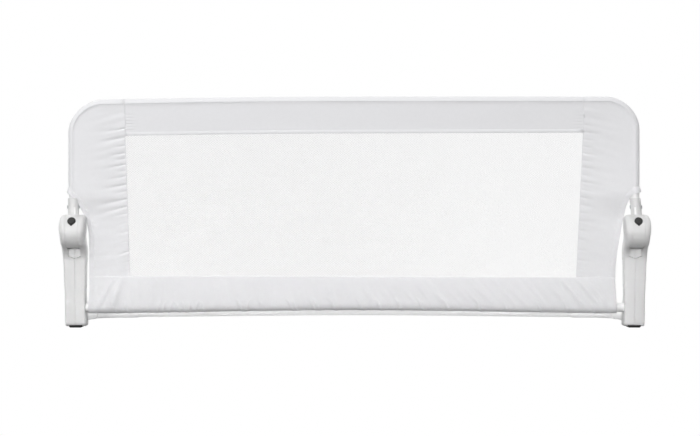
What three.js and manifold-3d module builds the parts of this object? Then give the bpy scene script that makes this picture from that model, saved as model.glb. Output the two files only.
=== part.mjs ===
// A folding bed guard rail: a cloth and mesh panel on a steel frame that folds down on two locking hinges.
// Millimetres, +Z up, +X along the rail, +Y back under the mattress. It stands on z = 0.
// The solids are worked out with the fold axis over y = 0, and the whole part is centred at the end.
import * as THREE from "three";
import { mergeVertices } from "three/addons/utils/BufferGeometryUtils.js";
import Module from "manifold-3d";

const wasm = await Module();
wasm.setup();

// Whole guard
const casingSpacing = 974; // between the middle planes of the two hinge casings
const hingeHeight = 168; // fold axis above the floor
const railHeight = 393.5; // middle of the top tube above the floor
const legReach = 308; // fold axis to the middle of the rear bar

// Fits
const clearance = 0.3; // between pieces that seat on each other
const clothGap = 0.4; // between cloth and the tube inside it
const runningGap = 0.06; // round a pin that turns
const overrun = 6; // how far a cut runs past what it cuts

// Steel tubes
const tubeDiameter = 16;
const tubeWall = 1.2;
const railCornerRadius = 58;
const cornerTubeReach = 99; // from a casing's middle plane to the joint with the top tube
const spigotLength = 35; // reduced end of a corner tube inside the top tube
const spigotRoot = 4;
const crossTubeHeight = 35;
const crossTubeDepth = 28; // behind the fold axis
const crossTubeRise = 4.5; // the lower tube bows up this much in the middle
const crossTubeEnd = 10; // past the casing's middle plane
const rearBarRise = 5;

// Leg frame
const elbowWall = 2;
const elbowRadius = 50;
const elbowSocket = 25;
const legSocketHeight = 14.9; // leg tube where it leaves the casing
const legTubeStart = 26;

// Hinge casing, split down its middle plane into an outer and an inner shell
const headRadius = 29;
const headHalfWidth = 23;
const waistHalfWidth = 19.4;
const footHalfWidth = 18;
const headFullDrop = 11; // the head keeps its width this far below the axis
const shoulderDrop = 18; // the rear of the casing leaves the head here
const waistDrop = 70;
const footWidthHeight = 45;
const casingEdge = 6;
const shellWall = 2.2;
const neckRadius = 26;
const neckFrontGap = 2; // between the folded socket and the casing's front
const casingFootFront = 20;
const casingRear = 36;
const casingFootRear = 55;
const heelHeight = 22;
const heelTop = 60;
const cheekDrop = 38; // the thick cheeks end this far below the axis
const padHeight = 4;
const padWidth = 25;
const padLength = 30;
const padChamfer = 2.5;
const padInset = 2;
const recessCornerDrop = 43;
const recessPointDrop = 47;
const recessGap = 1;

// Hinge: rotor, pin, release button and lock
const rotorRadius = 28;
const rotorWidth = 21.6;
const rotorChamfer = 1;
const cheekGap = 0.5;
const socketDiameter = 19;
const socketTop = 57.4; // above the fold axis
const socketSeat = 24;
const grooveWidth = 3;
const grooveHeight = 12;
const grooveDepth = 1;
const grooveOffset = 3;
const pinDiameter = 8;
const pinBossWall = 2.4;
const rivetHeight = 42; // above the fold axis
const rivetDiameter = 4;
const rivetHeadDiameter = 7;
const rivetHeadHeight = 1.1;
const buttonDiameter = 14;
const buttonTip = 9.3; // from the button's middle to its point
const buttonProud = 2.5;
const buttonTravel = 3.5;
const buttonCap = 6.5;
const buttonStem = 6;
const stemTail = 1.2; // stem left below the lock pin
const buttonLean = 52; // degrees that the button leans forward from straight up
const wellGap = 2; // round the button as it turns past the casing
const ledgeRadius = 16.5;
const lockPinDiameter = 4;
const lockPinReach = 15;
const lockPinRadius = 12.5; // from the fold axis, button out
const lockRingWall = 3.6;
const lockNotchDepth = 2.1;
const pocketOuterRadius = 26.5;
const springRadius = 4.7;
const springWire = 0.8;
const springTurns = 3.5;

// Fasteners
const screwDiameter = 2.5;
const screwHeadDiameter = 6.8;
const screwHeadHeight = 2.2;
const screwBossDiameter = 8.4;
const screwSink = 3; // the heads lie this deep in the casing
const screwReach = 10;
const upperScrewDepth = 24; // depths behind the fold axis
const middleScrewDepth = 26;
const lowerScrewDepth = 45.5;
const upperScrewDrop = 50; // below the fold axis
const middleScrewRise = 37; // above the lower tube
const lowerScrewHeight = 27.5;
const legScrewDepth = 44;
const crossScrewOffset = 9;
const crossScrewSeat = 17.5; // head of the screw into the lower tube, behind the tube's middle
const snapDiameter = 5;
const snapHeadDiameter = 7;
const snapHeadHeight = 1;

// Cover
const clothThickness = 1.2;
const sleeveWall = 0.9;
const topBandDrop = 56.5; // window below the middle of the top tube
const bottomBandRise = 54; // window above the middle of the lower tube's ends
const windowTopInset = 92; // upper corners of the window from the casings' middle planes
const windowBottomInset = 100;
const seamGap = 0.6; // between neighbouring cloth pieces
const sleeveSocketGap = 4.6; // the side sleeve stops above the rotor's socket
const coverEdgeInset = 25.5; // free side edges beside the casings
const tuckAboveSocket = 12.6; // the side edge leaves the sleeve here
const tuckAboveAxis = 16; // and has come in past the casing here
const panelFold = 2.6; // how far the gathers of a side panel stand out
const panelFoldPitch = 22;
const panelFoldSlant = 10;
const bandFold = 2.4;
const bandFoldPitch = 71;
const bandFoldSlant = 26;
const netThickness = 0.8;
const netStrand = 3.2;
const netBorder = 4;

// Counts
const tubeSides = 12;
const boreSides = 16; // bores, bosses and pins that turn
const holeSides = 8; // screws, and the holes and bosses round them
const bendSteps = 6;
const bowSteps = 8;
const headSteps = 12;
const springSides = 5;
const springTurnSteps = 8;
const panelColumns = 3;
const upperPanelRows = 38;
const lowerPanelRows = 14;
const bandColumns = 52;
const bandRows = 3;
const netColumns = 10;
const upperNetRows = 4;
const lowerNetRows = 2;

// Sizes that follow from the ones above
const tubeRadius = tubeDiameter / 2;
const boreRadius = tubeRadius - tubeWall;
const spigotRadius = boreRadius - clearance;
const socketRadius = socketDiameter / 2;
const halfSpacing = casingSpacing / 2;
const wellRadius = rotorRadius + buttonProud + wellGap;
const bandHalfWidth = rotorWidth / 2 + cheekGap;
const casingFront = socketRadius + neckFrontGap;
const casingBottom = padHeight + clearance;
const elbowOuter = tubeRadius + clearance + elbowWall;
const cornerStart = halfSpacing - railCornerRadius;
const topTubeHalf = halfSpacing - cornerTubeReach;
const crossScrewDepth = crossTubeDepth + crossScrewSeat;
const windowTop = railHeight - topBandDrop;
const windowBottom = crossTubeHeight + bottomBandRise;
const windowTopHalf = halfSpacing - windowTopInset;
const windowBottomHalf = halfSpacing - windowBottomInset;
const coverHalfWidth = halfSpacing - coverEdgeInset;
const sleeveEnd = hingeHeight + socketTop + sleeveSocketGap;
const edgeTuckStart = hingeHeight + socketTop + tuckAboveSocket;
const edgeTuckEnd = hingeHeight + tuckAboveAxis;
const splitDrop = seamGap / 2;
const capUnder = rotorRadius + buttonProud - buttonCap;
const cheekWall = headHalfWidth - shellWall;
const lockRingRadius = lockPinRadius + lockPinDiameter / 2 + clothGap;
const rivetHoleRadius = rivetDiameter / 2 + clearance / 2;
const radians = Math.PI / 180;

// Finishes
const whitePlastic = new THREE.MeshStandardMaterial({ color: 0xdfe0e0, roughness: 0.45 });
const whiteTube = new THREE.MeshStandardMaterial({ color: 0xe3e4e5, roughness: 0.35, metalness: 0.1 });
const blackPlastic = new THREE.MeshStandardMaterial({ color: 0x2b2b2d, roughness: 0.5 });
const blackRubber = new THREE.MeshStandardMaterial({ color: 0x1d1d1e, roughness: 0.85 });
const zincSteel = new THREE.MeshStandardMaterial({ color: 0xa9abad, roughness: 0.35, metalness: 0.9 });
const whiteCloth = new THREE.MeshStandardMaterial({ color: 0xe2e4e8, roughness: 0.9 });
const whiteNet = new THREE.MeshStandardMaterial({ color: 0xf0f0f0, roughness: 0.9 });

// Solids and meshes

function solid(geometry) {
  const bare = geometry.clone();
  bare.deleteAttribute("normal");
  bare.deleteAttribute("uv");
  const merged = mergeVertices(bare, clearance / 1000);
  return new wasm.Manifold(
    new wasm.Mesh({
      numProp: 3,
      vertProperties: merged.attributes.position.array,
      triVerts: new Uint32Array(merged.index.array),
    }),
  );
}

function geometryOf(body) {
  const made = body.getMesh();
  const geometry = new THREE.BufferGeometry();
  geometry.setAttribute("position", new THREE.BufferAttribute(made.vertProperties, 3));
  geometry.setIndex(new THREE.BufferAttribute(made.triVerts, 1));
  geometry.computeVertexNormals();
  return geometry;
}

function piece(name, shape, material) {
  const geometry = shape.isBufferGeometry ? shape : geometryOf(shape);
  const mesh = new THREE.Mesh(geometry, material);
  mesh.name = name;
  return mesh;
}

function joined(first, ...others) {
  return others.reduce((body, other) => body.add(other), first);
}

function cut(first, ...others) {
  return others.reduce((body, other) => body.subtract(other), first);
}

// Shapes

function circle(radius, sides) {
  const step = (2 * Math.PI) / sides;
  return Array.from({ length: sides }, (_, i) => {
    return new THREE.Vector2(radius * Math.cos(i * step), radius * Math.sin(i * step));
  });
}

function ring(outer, inner, sides = tubeSides) {
  const shape = new THREE.Shape(circle(outer, sides));
  shape.holes.push(new THREE.Path(circle(inner, sides)));
  return shape;
}

// Straight round bar along X, through a point given by its depth and height.
function barX(radius, from, to, depth, height, sides = boreSides) {
  const geometry = new THREE.CylinderGeometry(radius, radius, to - from, sides);
  geometry.rotateZ(-Math.PI / 2);
  return solid(geometry.translate((from + to) / 2, depth, height));
}

// Straight round bar along Y.
function barY(radius, from, to, x, height, sides = boreSides) {
  const geometry = new THREE.CylinderGeometry(radius, radius, to - from, sides);
  return solid(geometry.translate(x, (from + to) / 2, height));
}

// Straight round bar along Z, on the origin's axis.
function barZ(radius, from, to, sides = boreSides) {
  const geometry = new THREE.CylinderGeometry(radius, radius, to - from, sides);
  geometry.rotateX(Math.PI / 2);
  return geometry.translate(0, 0, (from + to) / 2);
}

function box(low, high) {
  const size = new THREE.Vector3().subVectors(high, low);
  const middle = new THREE.Vector3().addVectors(low, high).divideScalar(2);
  return new THREE.BoxGeometry(size.x, size.y, size.z).translate(middle.x, middle.y, middle.z);
}

// An outline in depth and height, drawn out along X.
function sideExtrude(shape, from, to, bevel = 0) {
  const geometry = new THREE.ExtrudeGeometry(shape, {
    depth: to - from - 2 * bevel,
    bevelEnabled: bevel > 0,
    bevelThickness: bevel,
    bevelSize: bevel,
    bevelOffset: -bevel,
    bevelSegments: 2,
  });
  const turned = new THREE.Matrix4().makeBasis(
    new THREE.Vector3(0, 1, 0),
    new THREE.Vector3(0, 0, 1),
    new THREE.Vector3(1, 0, 0),
  );
  return geometry.applyMatrix4(turned).translate(from + bevel, 0, 0);
}

// An outline in X and height, drawn out along Y from one depth to another.
function frontExtrude(shape, from, to) {
  const geometry = new THREE.ExtrudeGeometry(shape, { depth: to - from, bevelEnabled: false });
  const turned = new THREE.Matrix4().makeBasis(
    new THREE.Vector3(1, 0, 0),
    new THREE.Vector3(0, 0, 1),
    new THREE.Vector3(0, -1, 0),
  );
  return geometry.applyMatrix4(turned).translate(0, to, 0);
}

function sweep(shape, path, steps) {
  return new THREE.ExtrudeGeometry(shape, { steps, extrudePath: path, bevelEnabled: false });
}

function smooth(t) {
  const c = Math.min(1, Math.max(0, t));
  return c * c * (3 - 2 * c);
}

// Two straight runs joined by a round quarter bend, with one step for each run.
class BentPath extends THREE.Curve {
  constructor(from, corner, to, radius) {
    super();
    this.from = from;
    this.to = to;
    this.radius = radius;
    this.ahead = new THREE.Vector3().subVectors(corner, from).normalize();
    this.aside = new THREE.Vector3().subVectors(to, corner).normalize();
    this.bendStart = corner.clone().addScaledVector(this.ahead, -radius);
    this.centre = this.bendStart.clone().addScaledVector(this.aside, radius);
  }
  onBend(share) {
    const angle = (share * Math.PI) / 2;
    return this.centre
      .clone()
      .addScaledVector(this.aside, -this.radius * Math.cos(angle))
      .addScaledVector(this.ahead, this.radius * Math.sin(angle));
  }
  getPoint(t) {
    const along = t * (bendSteps + 2);
    if (along < 1) return this.from.clone().lerp(this.bendStart, along);
    if (along <= bendSteps + 1) return this.onBend((along - 1) / bendSteps);
    return this.onBend(1).lerp(this.to, along - bendSteps - 1);
  }
  getPointAt(u) {
    return this.getPoint(u);
  }
  getTangentAt(u) {
    return this.getTangent(u);
  }
}

// A long tube that bows up in the middle and is straight at its ends.
class BowedPath extends THREE.Curve {
  constructor(half, rise, depth, height) {
    super();
    this.half = half;
    this.rise = rise;
    this.depth = depth;
    this.height = height;
  }
  getPoint(t) {
    const share = 2 * t - 1;
    const bow = (1 - share * share) ** 2;
    return new THREE.Vector3(share * this.half, this.depth, this.height + this.rise * bow);
  }
}

// Hinge casing

// Half the casing's width at a height: full at the head, then easing in to the waist and the foot.
function casingHalfWidth(height) {
  const fullHeight = hingeHeight - headFullDrop;
  const waistHeight = hingeHeight - waistDrop;
  const toWaist = smooth((fullHeight - height) / (fullHeight - waistHeight));
  const toFoot = smooth((waistHeight - height) / (waistHeight - footWidthHeight));
  const waist = headHalfWidth + (waistHalfWidth - headHalfWidth) * toWaist;
  return waist + (footHalfWidth - waistHalfWidth) * toFoot;
}

function fitWidth(geometry) {
  const at = geometry.attributes.position;
  for (let i = 0; i < at.count; i += 1) {
    at.setX(i, (at.getX(i) * casingHalfWidth(at.getZ(i))) / headHalfWidth);
  }
  return geometry;
}

// The front of the casing below the neck leans back from the foot to the neck.
function casingFrontAt(height) {
  const neckHeight = hingeHeight - neckDrop();
  const share = (height - casingBottom) / (neckHeight - casingBottom);
  return casingFootFront + (casingFront - casingFootFront) * share;
}

// The hollow neck curve touches the round head and the straight front.
function neckDrop() {
  const across = neckRadius - casingFront;
  return Math.sqrt((headRadius + neckRadius) ** 2 - across ** 2);
}

function neckPoints() {
  const centre = new THREE.Vector2(casingFront - neckRadius, hingeHeight - neckDrop());
  const start = Math.atan2(neckDrop(), neckRadius - casingFront);
  return [1, 2 / 3, 1 / 3, 0].map((share) => {
    const angle = start * share;
    return new THREE.Vector2(
      centre.x + neckRadius * Math.cos(angle),
      centre.y + neckRadius * Math.sin(angle),
    );
  });
}

function casingOutline() {
  const neckStart = Math.atan2(-neckDrop(), casingFront - neckRadius);
  const points = [];
  for (let i = 0; i <= headSteps; i += 1) {
    const angle = ((2 * Math.PI + neckStart) * i) / headSteps;
    const rise = headRadius * Math.sin(angle);
    points.push(new THREE.Vector2(headRadius * Math.cos(angle), hingeHeight + rise));
  }
  points.pop();
  points.push(...neckPoints());
  const waistHeight = hingeHeight - waistDrop;
  points.push(new THREE.Vector2(casingFrontAt(waistHeight), waistHeight));
  points.push(new THREE.Vector2(casingFrontAt(footWidthHeight), footWidthHeight));
  points.push(new THREE.Vector2(casingFootFront, casingBottom));
  points.push(new THREE.Vector2(casingFootRear, casingBottom));
  points.push(new THREE.Vector2(casingFootRear, heelHeight));
  points.push(new THREE.Vector2(casingRear, heelTop));
  points.push(new THREE.Vector2(casingRear, waistHeight));
  points.push(new THREE.Vector2(casingRear, (waistHeight + hingeHeight) / 2));
  points.push(new THREE.Vector2(casingRear, hingeHeight - shoulderDrop));
  return new THREE.Shape(points);
}

function casingHollow() {
  const top = hingeHeight - cheekDrop;
  const floor = casingBottom + shellWall;
  const waistHeight = hingeHeight - waistDrop;
  const heelRear = casingFootRear - shellWall;
  const points = [
    new THREE.Vector2(casingRear - shellWall, top),
    new THREE.Vector2(casingFront + 2 * shellWall, top),
    new THREE.Vector2(casingFrontAt(waistHeight) + shellWall, waistHeight),
    new THREE.Vector2(casingFrontAt(footWidthHeight) + shellWall, footWidthHeight),
    new THREE.Vector2(casingFootFront + shellWall, floor),
    new THREE.Vector2(heelRear, floor),
    new THREE.Vector2(heelRear, heelHeight - shellWall),
    new THREE.Vector2(casingRear - shellWall, heelTop - shellWall),
    new THREE.Vector2(casingRear - shellWall, waistHeight),
  ];
  const blank = sideExtrude(new THREE.Shape(points), -cheekWall, cheekWall);
  return solid(fitWidth(blank));
}

// The opening between the cheeks, with the pointed recess that the folded socket lies in.
function rotorWell() {
  const corner = hingeHeight - recessCornerDrop;
  const point = hingeHeight - recessPointDrop;
  const outline = new THREE.Shape([
    new THREE.Vector2(-bandHalfWidth, hingeHeight),
    new THREE.Vector2(-bandHalfWidth, corner),
    new THREE.Vector2(0, point),
    new THREE.Vector2(bandHalfWidth, corner),
    new THREE.Vector2(bandHalfWidth, hingeHeight),
  ]);
  const recess = frontExtrude(outline, -headRadius - overrun, socketRadius + recessGap);
  const well = barX(wellRadius, -bandHalfWidth, bandHalfWidth, 0, hingeHeight);
  return well.add(solid(recess));
}

// Round hollow of one cheek, with the two notches that the lock pin stands before.
function lockHollow(side) {
  const [low, high] = [bandHalfWidth - overrun, cheekWall].map((x) => x * side).sort((a, b) => a - b);
  const hollow = barX(lockRingRadius, low, high, 0, hingeHeight);
  const width = lockPinDiameter / 2 + clothGap;
  const reach = lockRingRadius + lockNotchDepth;
  const notch = box(new THREE.Vector3(low, -width, -reach), new THREE.Vector3(high, width, reach));
  notch.rotateX(buttonLean * radians).translate(0, 0, hingeHeight);
  return hollow.add(solid(notch));
}

// Ring-shaped pocket that thins the cheek round the lock ring.
function cheekPocket(side) {
  const [low, high] = [bandHalfWidth - overrun, cheekWall].map((x) => x * side).sort((a, b) => a - b);
  const outer = barX(pocketOuterRadius, low, high, 0, hingeHeight);
  const lockRing = barX(lockRingRadius + lockRingWall, low - overrun, high + overrun, 0, hingeHeight);
  return outer.subtract(lockRing);
}

const pinHoleRadius = (pinDiameter / 2 + runningGap) / Math.cos(Math.PI / boreSides);

// Boss that carries the hinge pin, closed on the outside.
function pinBoss(side) {
  const face = bandHalfWidth - cheekGap + clearance;
  const [low, high] = [face, cheekWall + shellWall / 2].map((x) => x * side).sort((a, b) => a - b);
  return barX(pinDiameter / 2 + pinBossWall, low, high, 0, hingeHeight);
}

function pinHole() {
  return barX(pinHoleRadius, -cheekWall, cheekWall, 0, hingeHeight);
}

const casingScrews = [
  { depth: upperScrewDepth, height: hingeHeight - upperScrewDrop },
  { depth: middleScrewDepth, height: crossTubeHeight + middleScrewRise },
  { depth: lowerScrewDepth, height: lowerScrewHeight },
];
const screwHole = screwDiameter / 2 + clearance;
const screwHeadHole = screwHeadDiameter / 2 + clearance;

function screwBarX(radius, from, to, { depth, height }) {
  return barX(radius, from, to, depth, height, holeSides);
}

// Where the head of a casing screw sits, on the inner shell.
function headSeat(screw) {
  return casingHalfWidth(screw.height) - screwSink;
}

function outerScrewBoss(screw) {
  const wall = casingHalfWidth(screw.height) - shellWall / 2;
  const boss = screwBarX(screwBossDiameter / 2, clearance / 2, wall, screw);
  return boss.subtract(screwBarX(screwHole, -overrun, screwReach + 2 * clearance, screw));
}

function innerScrewBoss(screw) {
  const wall = casingHalfWidth(screw.height) - shellWall / 2;
  return screwBarX(screwBossDiameter / 2, -wall, -clearance / 2, screw);
}

function innerScrewHole(screw) {
  const seat = headSeat(screw);
  const sink = screwBarX(screwHeadHole, -headHalfWidth - overrun, -seat, screw);
  return sink.add(screwBarX(screwHole, -seat - overrun, overrun, screw));
}

// The leg frame leans down from the casings to the elbows, which rest on the floor.
const legStartToBar = legReach - legTubeStart;
const legSlope = Math.atan2(legSocketHeight - elbowOuter, legStartToBar);

function legBore(radius, from, to) {
  const bore = barY(radius, from - legTubeStart, to - legTubeStart, 0, 0);
  return bore.rotate([-legSlope / radians, 0, 0]).translate([0, legTubeStart, legSocketHeight]);
}

function crossRing(from, to) {
  return barX(tubeRadius + clearance + shellWall, from, to, crossTubeDepth, crossTubeHeight);
}

function crossBore() {
  const low = -headHalfWidth - overrun;
  return barX(tubeRadius + clearance, low, crossTubeEnd + clearance, crossTubeDepth, crossTubeHeight);
}

// Upright rib inside the foot that carries the front end of the leg tube.
function legRib(side) {
  const half = casingHalfWidth(heelHeight) - shellWall / 2;
  const [low, high] = [clearance / 2, half].map((x) => x * side).sort((a, b) => a - b);
  const ribDepth = legTubeStart + elbowWall;
  const top = crossTubeHeight - tubeRadius;
  return solid(
    box(
      new THREE.Vector3(low, ribDepth, casingBottom + shellWall / 2),
      new THREE.Vector3(high, ribDepth + shellWall, top),
    ),
  );
}

function halfSpace(side) {
  const far = headHalfWidth + overrun;
  const [low, high] = [clearance / 2, far].map((x) => x * side).sort((a, b) => a - b);
  const reach = casingFootRear + overrun;
  return solid(
    box(new THREE.Vector3(low, -reach, -overrun), new THREE.Vector3(high, reach, hingeHeight + reach)),
  );
}

function casingBlank(side) {
  const blank = sideExtrude(casingOutline(), -headHalfWidth, headHalfWidth, casingEdge);
  return solid(fitWidth(blank)).intersect(halfSpace(side));
}

// One shell: hollowed out, with its bosses and ribs kept inside its own outline.
function casingShell(side, ...inside) {
  const blank = casingBlank(side);
  const hollowed = cut(blank, casingHollow(), rotorWell(), lockHollow(side), cheekPocket(side));
  const filled = joined(hollowed, pinBoss(side), legRib(side), ...inside).intersect(blank);
  const legSeat = legBore(tubeRadius + clearance, legTubeStart - clearance, casingFootRear + overrun);
  return cut(filled, pinHole(), crossBore(), legSeat);
}

function outerShell() {
  const bosses = casingScrews.map(outerScrewBoss);
  return casingShell(1, crossRing(clearance / 2, crossTubeEnd + shellWall), ...bosses);
}

function innerShell() {
  const wall = footHalfWidth - shellWall / 2;
  const legBoss = screwBarX(screwBossDiameter / 2, -wall, -tubeRadius, legScrewPlace());
  const crossBossEnd = crossScrewDepth + shellWall;
  const crossBoss = crossBarY(screwBossDiameter / 2, crossTubeDepth, crossBossEnd);
  const bosses = casingScrews.map(innerScrewBoss);
  const body = casingShell(-1, crossRing(-wall, -clearance / 2), legBoss, crossBoss, ...bosses);
  return cut(body, ...casingScrews.map(innerScrewHole), legScrewHole(), crossScrewHole());
}

// Fasteners

// A screw along X with its head at the given x, pointing to +X.
function screwX(seat, length, { depth, height }) {
  const profile = [
    new THREE.Vector2(0, 0),
    new THREE.Vector2(screwDiameter / 2, 0),
    new THREE.Vector2(screwDiameter / 2, length),
    new THREE.Vector2(screwHeadDiameter / 2, length),
    new THREE.Vector2(screwHeadDiameter / 2, length + screwHeadHeight),
    new THREE.Vector2(0, length + screwHeadHeight),
  ];
  const geometry = new THREE.LatheGeometry(profile, holeSides);
  geometry.rotateZ(Math.PI / 2);
  return geometry.translate(seat + length, depth, height);
}

function legScrewPlace() {
  const height = legSocketHeight - (legScrewDepth - legTubeStart) * Math.tan(legSlope);
  return { depth: legScrewDepth, height };
}

const legScrewSeat = footHalfWidth - screwSink;
const legScrewLength = legScrewSeat - boreRadius + 2 * tubeWall;

function legScrewHole() {
  const sink = screwBarX(screwHeadHole, -headHalfWidth, -legScrewSeat, legScrewPlace());
  return sink.add(screwBarX(screwHole, -legScrewSeat - overrun, 0, legScrewPlace()));
}

// Bar along the screw that holds the lower tube.
function crossBarY(radius, from, to) {
  return barY(radius, from, to, -crossScrewOffset, crossTubeHeight, holeSides);
}

const crossScrewLength = crossScrewDepth - crossTubeDepth - boreRadius + 2 * tubeWall;

function crossScrewHole() {
  const sink = crossBarY(screwHeadHole, crossScrewDepth, casingFootRear + overrun);
  return sink.add(crossBarY(screwHole, crossTubeDepth, crossScrewDepth + overrun));
}

// Foot pad: a flat rubber block with its lower edges cut back.
function footPad() {
  const half = padWidth / 2;
  const outline = new THREE.Shape([
    new THREE.Vector2(-half + padChamfer, 0),
    new THREE.Vector2(half - padChamfer, 0),
    new THREE.Vector2(half, padChamfer),
    new THREE.Vector2(half, padHeight),
    new THREE.Vector2(-half, padHeight),
    new THREE.Vector2(-half, padChamfer),
  ]);
  const front = casingFootFront + padInset;
  return frontExtrude(outline, front, front + padLength);
}

// Hinge parts, drawn with the fold axis through the origin

function hingePin() {
  const half = cheekWall - clearance;
  return barX(pinDiameter / 2, -half, half, 0, 0);
}

// Round button with a small point at its lower side, drawn as if it faced up.
function buttonOutline(gap) {
  const radius = buttonDiameter / 2 + gap;
  const tip = buttonTip + gap;
  const tangent = Math.acos(radius / tip);
  const points = [];
  const sides = tubeSides;
  for (let i = 0; i <= sides; i += 1) {
    const angle = -Math.PI / 2 + tangent + ((2 * Math.PI - 2 * tangent) * i) / sides;
    points.push(new THREE.Vector2(radius * Math.cos(angle), radius * Math.sin(angle)));
  }
  points.push(new THREE.Vector2(0, -tip));
  return new THREE.Shape(points);
}

function buttonPrism(gap, from, to) {
  const geometry = new THREE.ExtrudeGeometry(buttonOutline(gap), {
    depth: to - from,
    bevelEnabled: false,
  });
  return geometry.translate(0, 0, from);
}

function leaning(geometry) {
  return geometry.rotateX(buttonLean * radians);
}

function rotorDisc() {
  const half = rotorWidth / 2;
  const profile = [
    new THREE.Vector2(0, -half),
    new THREE.Vector2(rotorRadius - rotorChamfer, -half),
    new THREE.Vector2(rotorRadius, -half + rotorChamfer),
    new THREE.Vector2(rotorRadius, half - rotorChamfer),
    new THREE.Vector2(rotorRadius - rotorChamfer, half),
    new THREE.Vector2(0, half),
  ];
  return solid(new THREE.LatheGeometry(profile, boreSides + holeSides).rotateZ(Math.PI / 2));
}

function lockSlot() {
  const half = lockPinDiameter / 2 + clearance;
  const low = lockPinRadius - buttonTravel - half;
  const reach = rotorWidth;
  const slot = box(
    new THREE.Vector3(-reach, -half, low),
    new THREE.Vector3(reach, half, lockPinRadius + half),
  );
  return solid(leaning(slot));
}

function socketGroove() {
  const front = -socketRadius;
  const foot = rotorRadius + rotorChamfer;
  const half = grooveWidth / 2;
  const low = new THREE.Vector3(-grooveOffset - half, front - overrun, foot);
  const high = new THREE.Vector3(-grooveOffset + half, front + grooveDepth, foot + grooveHeight);
  return solid(box(low, high));
}

function hingeRotor() {
  const socket = solid(barZ(socketRadius, rotorRadius / 2, socketTop));
  const tubeBore = solid(barZ(tubeRadius + clearance, socketSeat, socketTop + overrun));
  const capBore = solid(leaning(buttonPrism(clearance, ledgeRadius, rotorRadius + overrun)));
  const stemEnd = lockPinRadius - lockPinDiameter / 2 - stemTail - buttonTravel - clearance;
  const stemBore = solid(leaning(barZ(buttonStem / 2 + clearance, stemEnd, ledgeRadius + overrun)));
  const reach = rotorWidth;
  return cut(
    rotorDisc().add(socket),
    tubeBore,
    capBore,
    stemBore,
    lockSlot(),
    socketGroove(),
    barX(pinHoleRadius, -reach, reach, 0, 0),
    barX(rivetHoleRadius, -reach, reach, 0, rivetHeight, tubeSides),
  );
}

function releaseButton() {
  const cap = solid(buttonPrism(0, capUnder, rotorRadius + buttonProud));
  const stemEnd = lockPinRadius - lockPinDiameter / 2 - stemTail;
  const stem = solid(barZ(buttonStem / 2, stemEnd, capUnder + buttonCap / 2));
  const hole = barX(lockPinDiameter / 2 + clearance / 2, -buttonStem, buttonStem, 0, lockPinRadius);
  return geometryOf(cap.add(stem).subtract(hole));
}

function lockPin() {
  return geometryOf(barX(lockPinDiameter / 2, -lockPinReach, lockPinReach, 0, lockPinRadius, tubeSides));
}

class SpringPath extends THREE.Curve {
  getPoint(t) {
    const angle = 2 * Math.PI * springTurns * t;
    const low = ledgeRadius + springWire;
    const high = capUnder - springWire;
    return new THREE.Vector3(
      springRadius * Math.cos(angle),
      springRadius * Math.sin(angle),
      low + (high - low) * t,
    );
  }
}

function buttonSpring() {
  const section = new THREE.Shape(circle(springWire / 2, springSides));
  return sweep(section, new SpringPath(), springTurns * springTurnSteps);
}

// Rivet through the socket and the tube, with a head on each side.
function tubeRivet() {
  const grip = socketRadius + clearance / 2;
  const shank = barX(rivetDiameter / 2, -grip, grip, 0, rivetHeight, tubeSides);
  const heads = [-1, 1].map((side) => {
    const [low, high] = [grip, grip + rivetHeadHeight].map((x) => x * side).sort((a, b) => a - b);
    return barX(rivetHeadDiameter / 2, low, high, 0, rivetHeight, tubeSides);
  });
  return joined(shank, ...heads);
}

// Rail tubes

const tubeSeat = hingeHeight + socketSeat + clearance;

function cornerPath(inner, lower) {
  return new BentPath(
    new THREE.Vector3(inner, 0, railHeight),
    new THREE.Vector3(halfSpacing, 0, railHeight),
    new THREE.Vector3(halfSpacing, 0, lower),
    railCornerRadius,
  );
}

const snapPlace = topTubeHalf - spigotLength / 2;

function snapHole() {
  return barY(snapDiameter / 2 + clearance, 0, tubeDiameter, snapPlace, railHeight, holeSides);
}

function cornerTube() {
  const start = topTubeHalf + clearance;
  const inner = spigotRadius - tubeWall;
  const tube = solid(sweep(ring(tubeRadius, boreRadius), cornerPath(start, tubeSeat), bendSteps + 2));
  const spigot = barX(spigotRadius, start - spigotLength, start + spigotRoot, 0, railHeight, tubeSides);
  const root = barX(boreRadius + tubeWall / 2, start, start + spigotRoot, 0, railHeight, tubeSides);
  const boreEnd = start + spigotRoot + overrun;
  const bore = barX(inner, start - spigotLength - overrun, boreEnd, 0, railHeight, tubeSides);
  const far = halfSpacing + tubeDiameter;
  const rivetHole = barX(rivetHoleRadius, cornerStart, far, 0, hingeHeight + rivetHeight, tubeSides);
  return cut(tube.add(cut(spigot.add(root), bore)), snapHole(), rivetHole);
}

function topTube() {
  const straight = sideExtrude(ring(tubeRadius, boreRadius), -topTubeHalf, topTubeHalf);
  const tube = solid(straight.translate(0, 0, railHeight));
  const hole = snapHole();
  return cut(tube, hole, hole.mirror([1, 0, 0]));
}

// Spring button that holds a corner tube in the top tube, with its head inside.
function snapButton() {
  const headOuter = spigotRadius - tubeWall - clearance;
  const headDepth = Math.sqrt(headOuter ** 2 - (snapHeadDiameter / 2) ** 2);
  const low = headDepth - snapHeadHeight;
  const head = barY(snapHeadDiameter / 2, low, headDepth, snapPlace, railHeight, holeSides);
  const flush = tubeRadius * Math.cos(Math.PI / tubeSides) - clearance;
  return head.add(barY(snapDiameter / 2, low, flush, snapPlace, railHeight, holeSides));
}

// Leg frame, drawn from the front end of the leg tube at the origin

const legBarDepth = legStartToBar / Math.cos(legSlope);

function legTube() {
  const end = legBarDepth - elbowRadius;
  const path = new THREE.LineCurve3(new THREE.Vector3(0, 0, 0), new THREE.Vector3(0, end, 0));
  const along = (legScrewDepth - legTubeStart) / Math.cos(legSlope);
  const hole = barX(screwHole, -tubeDiameter, 0, along, 0, holeSides);
  return solid(sweep(ring(tubeRadius, boreRadius), path, 1)).subtract(hole);
}

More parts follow.
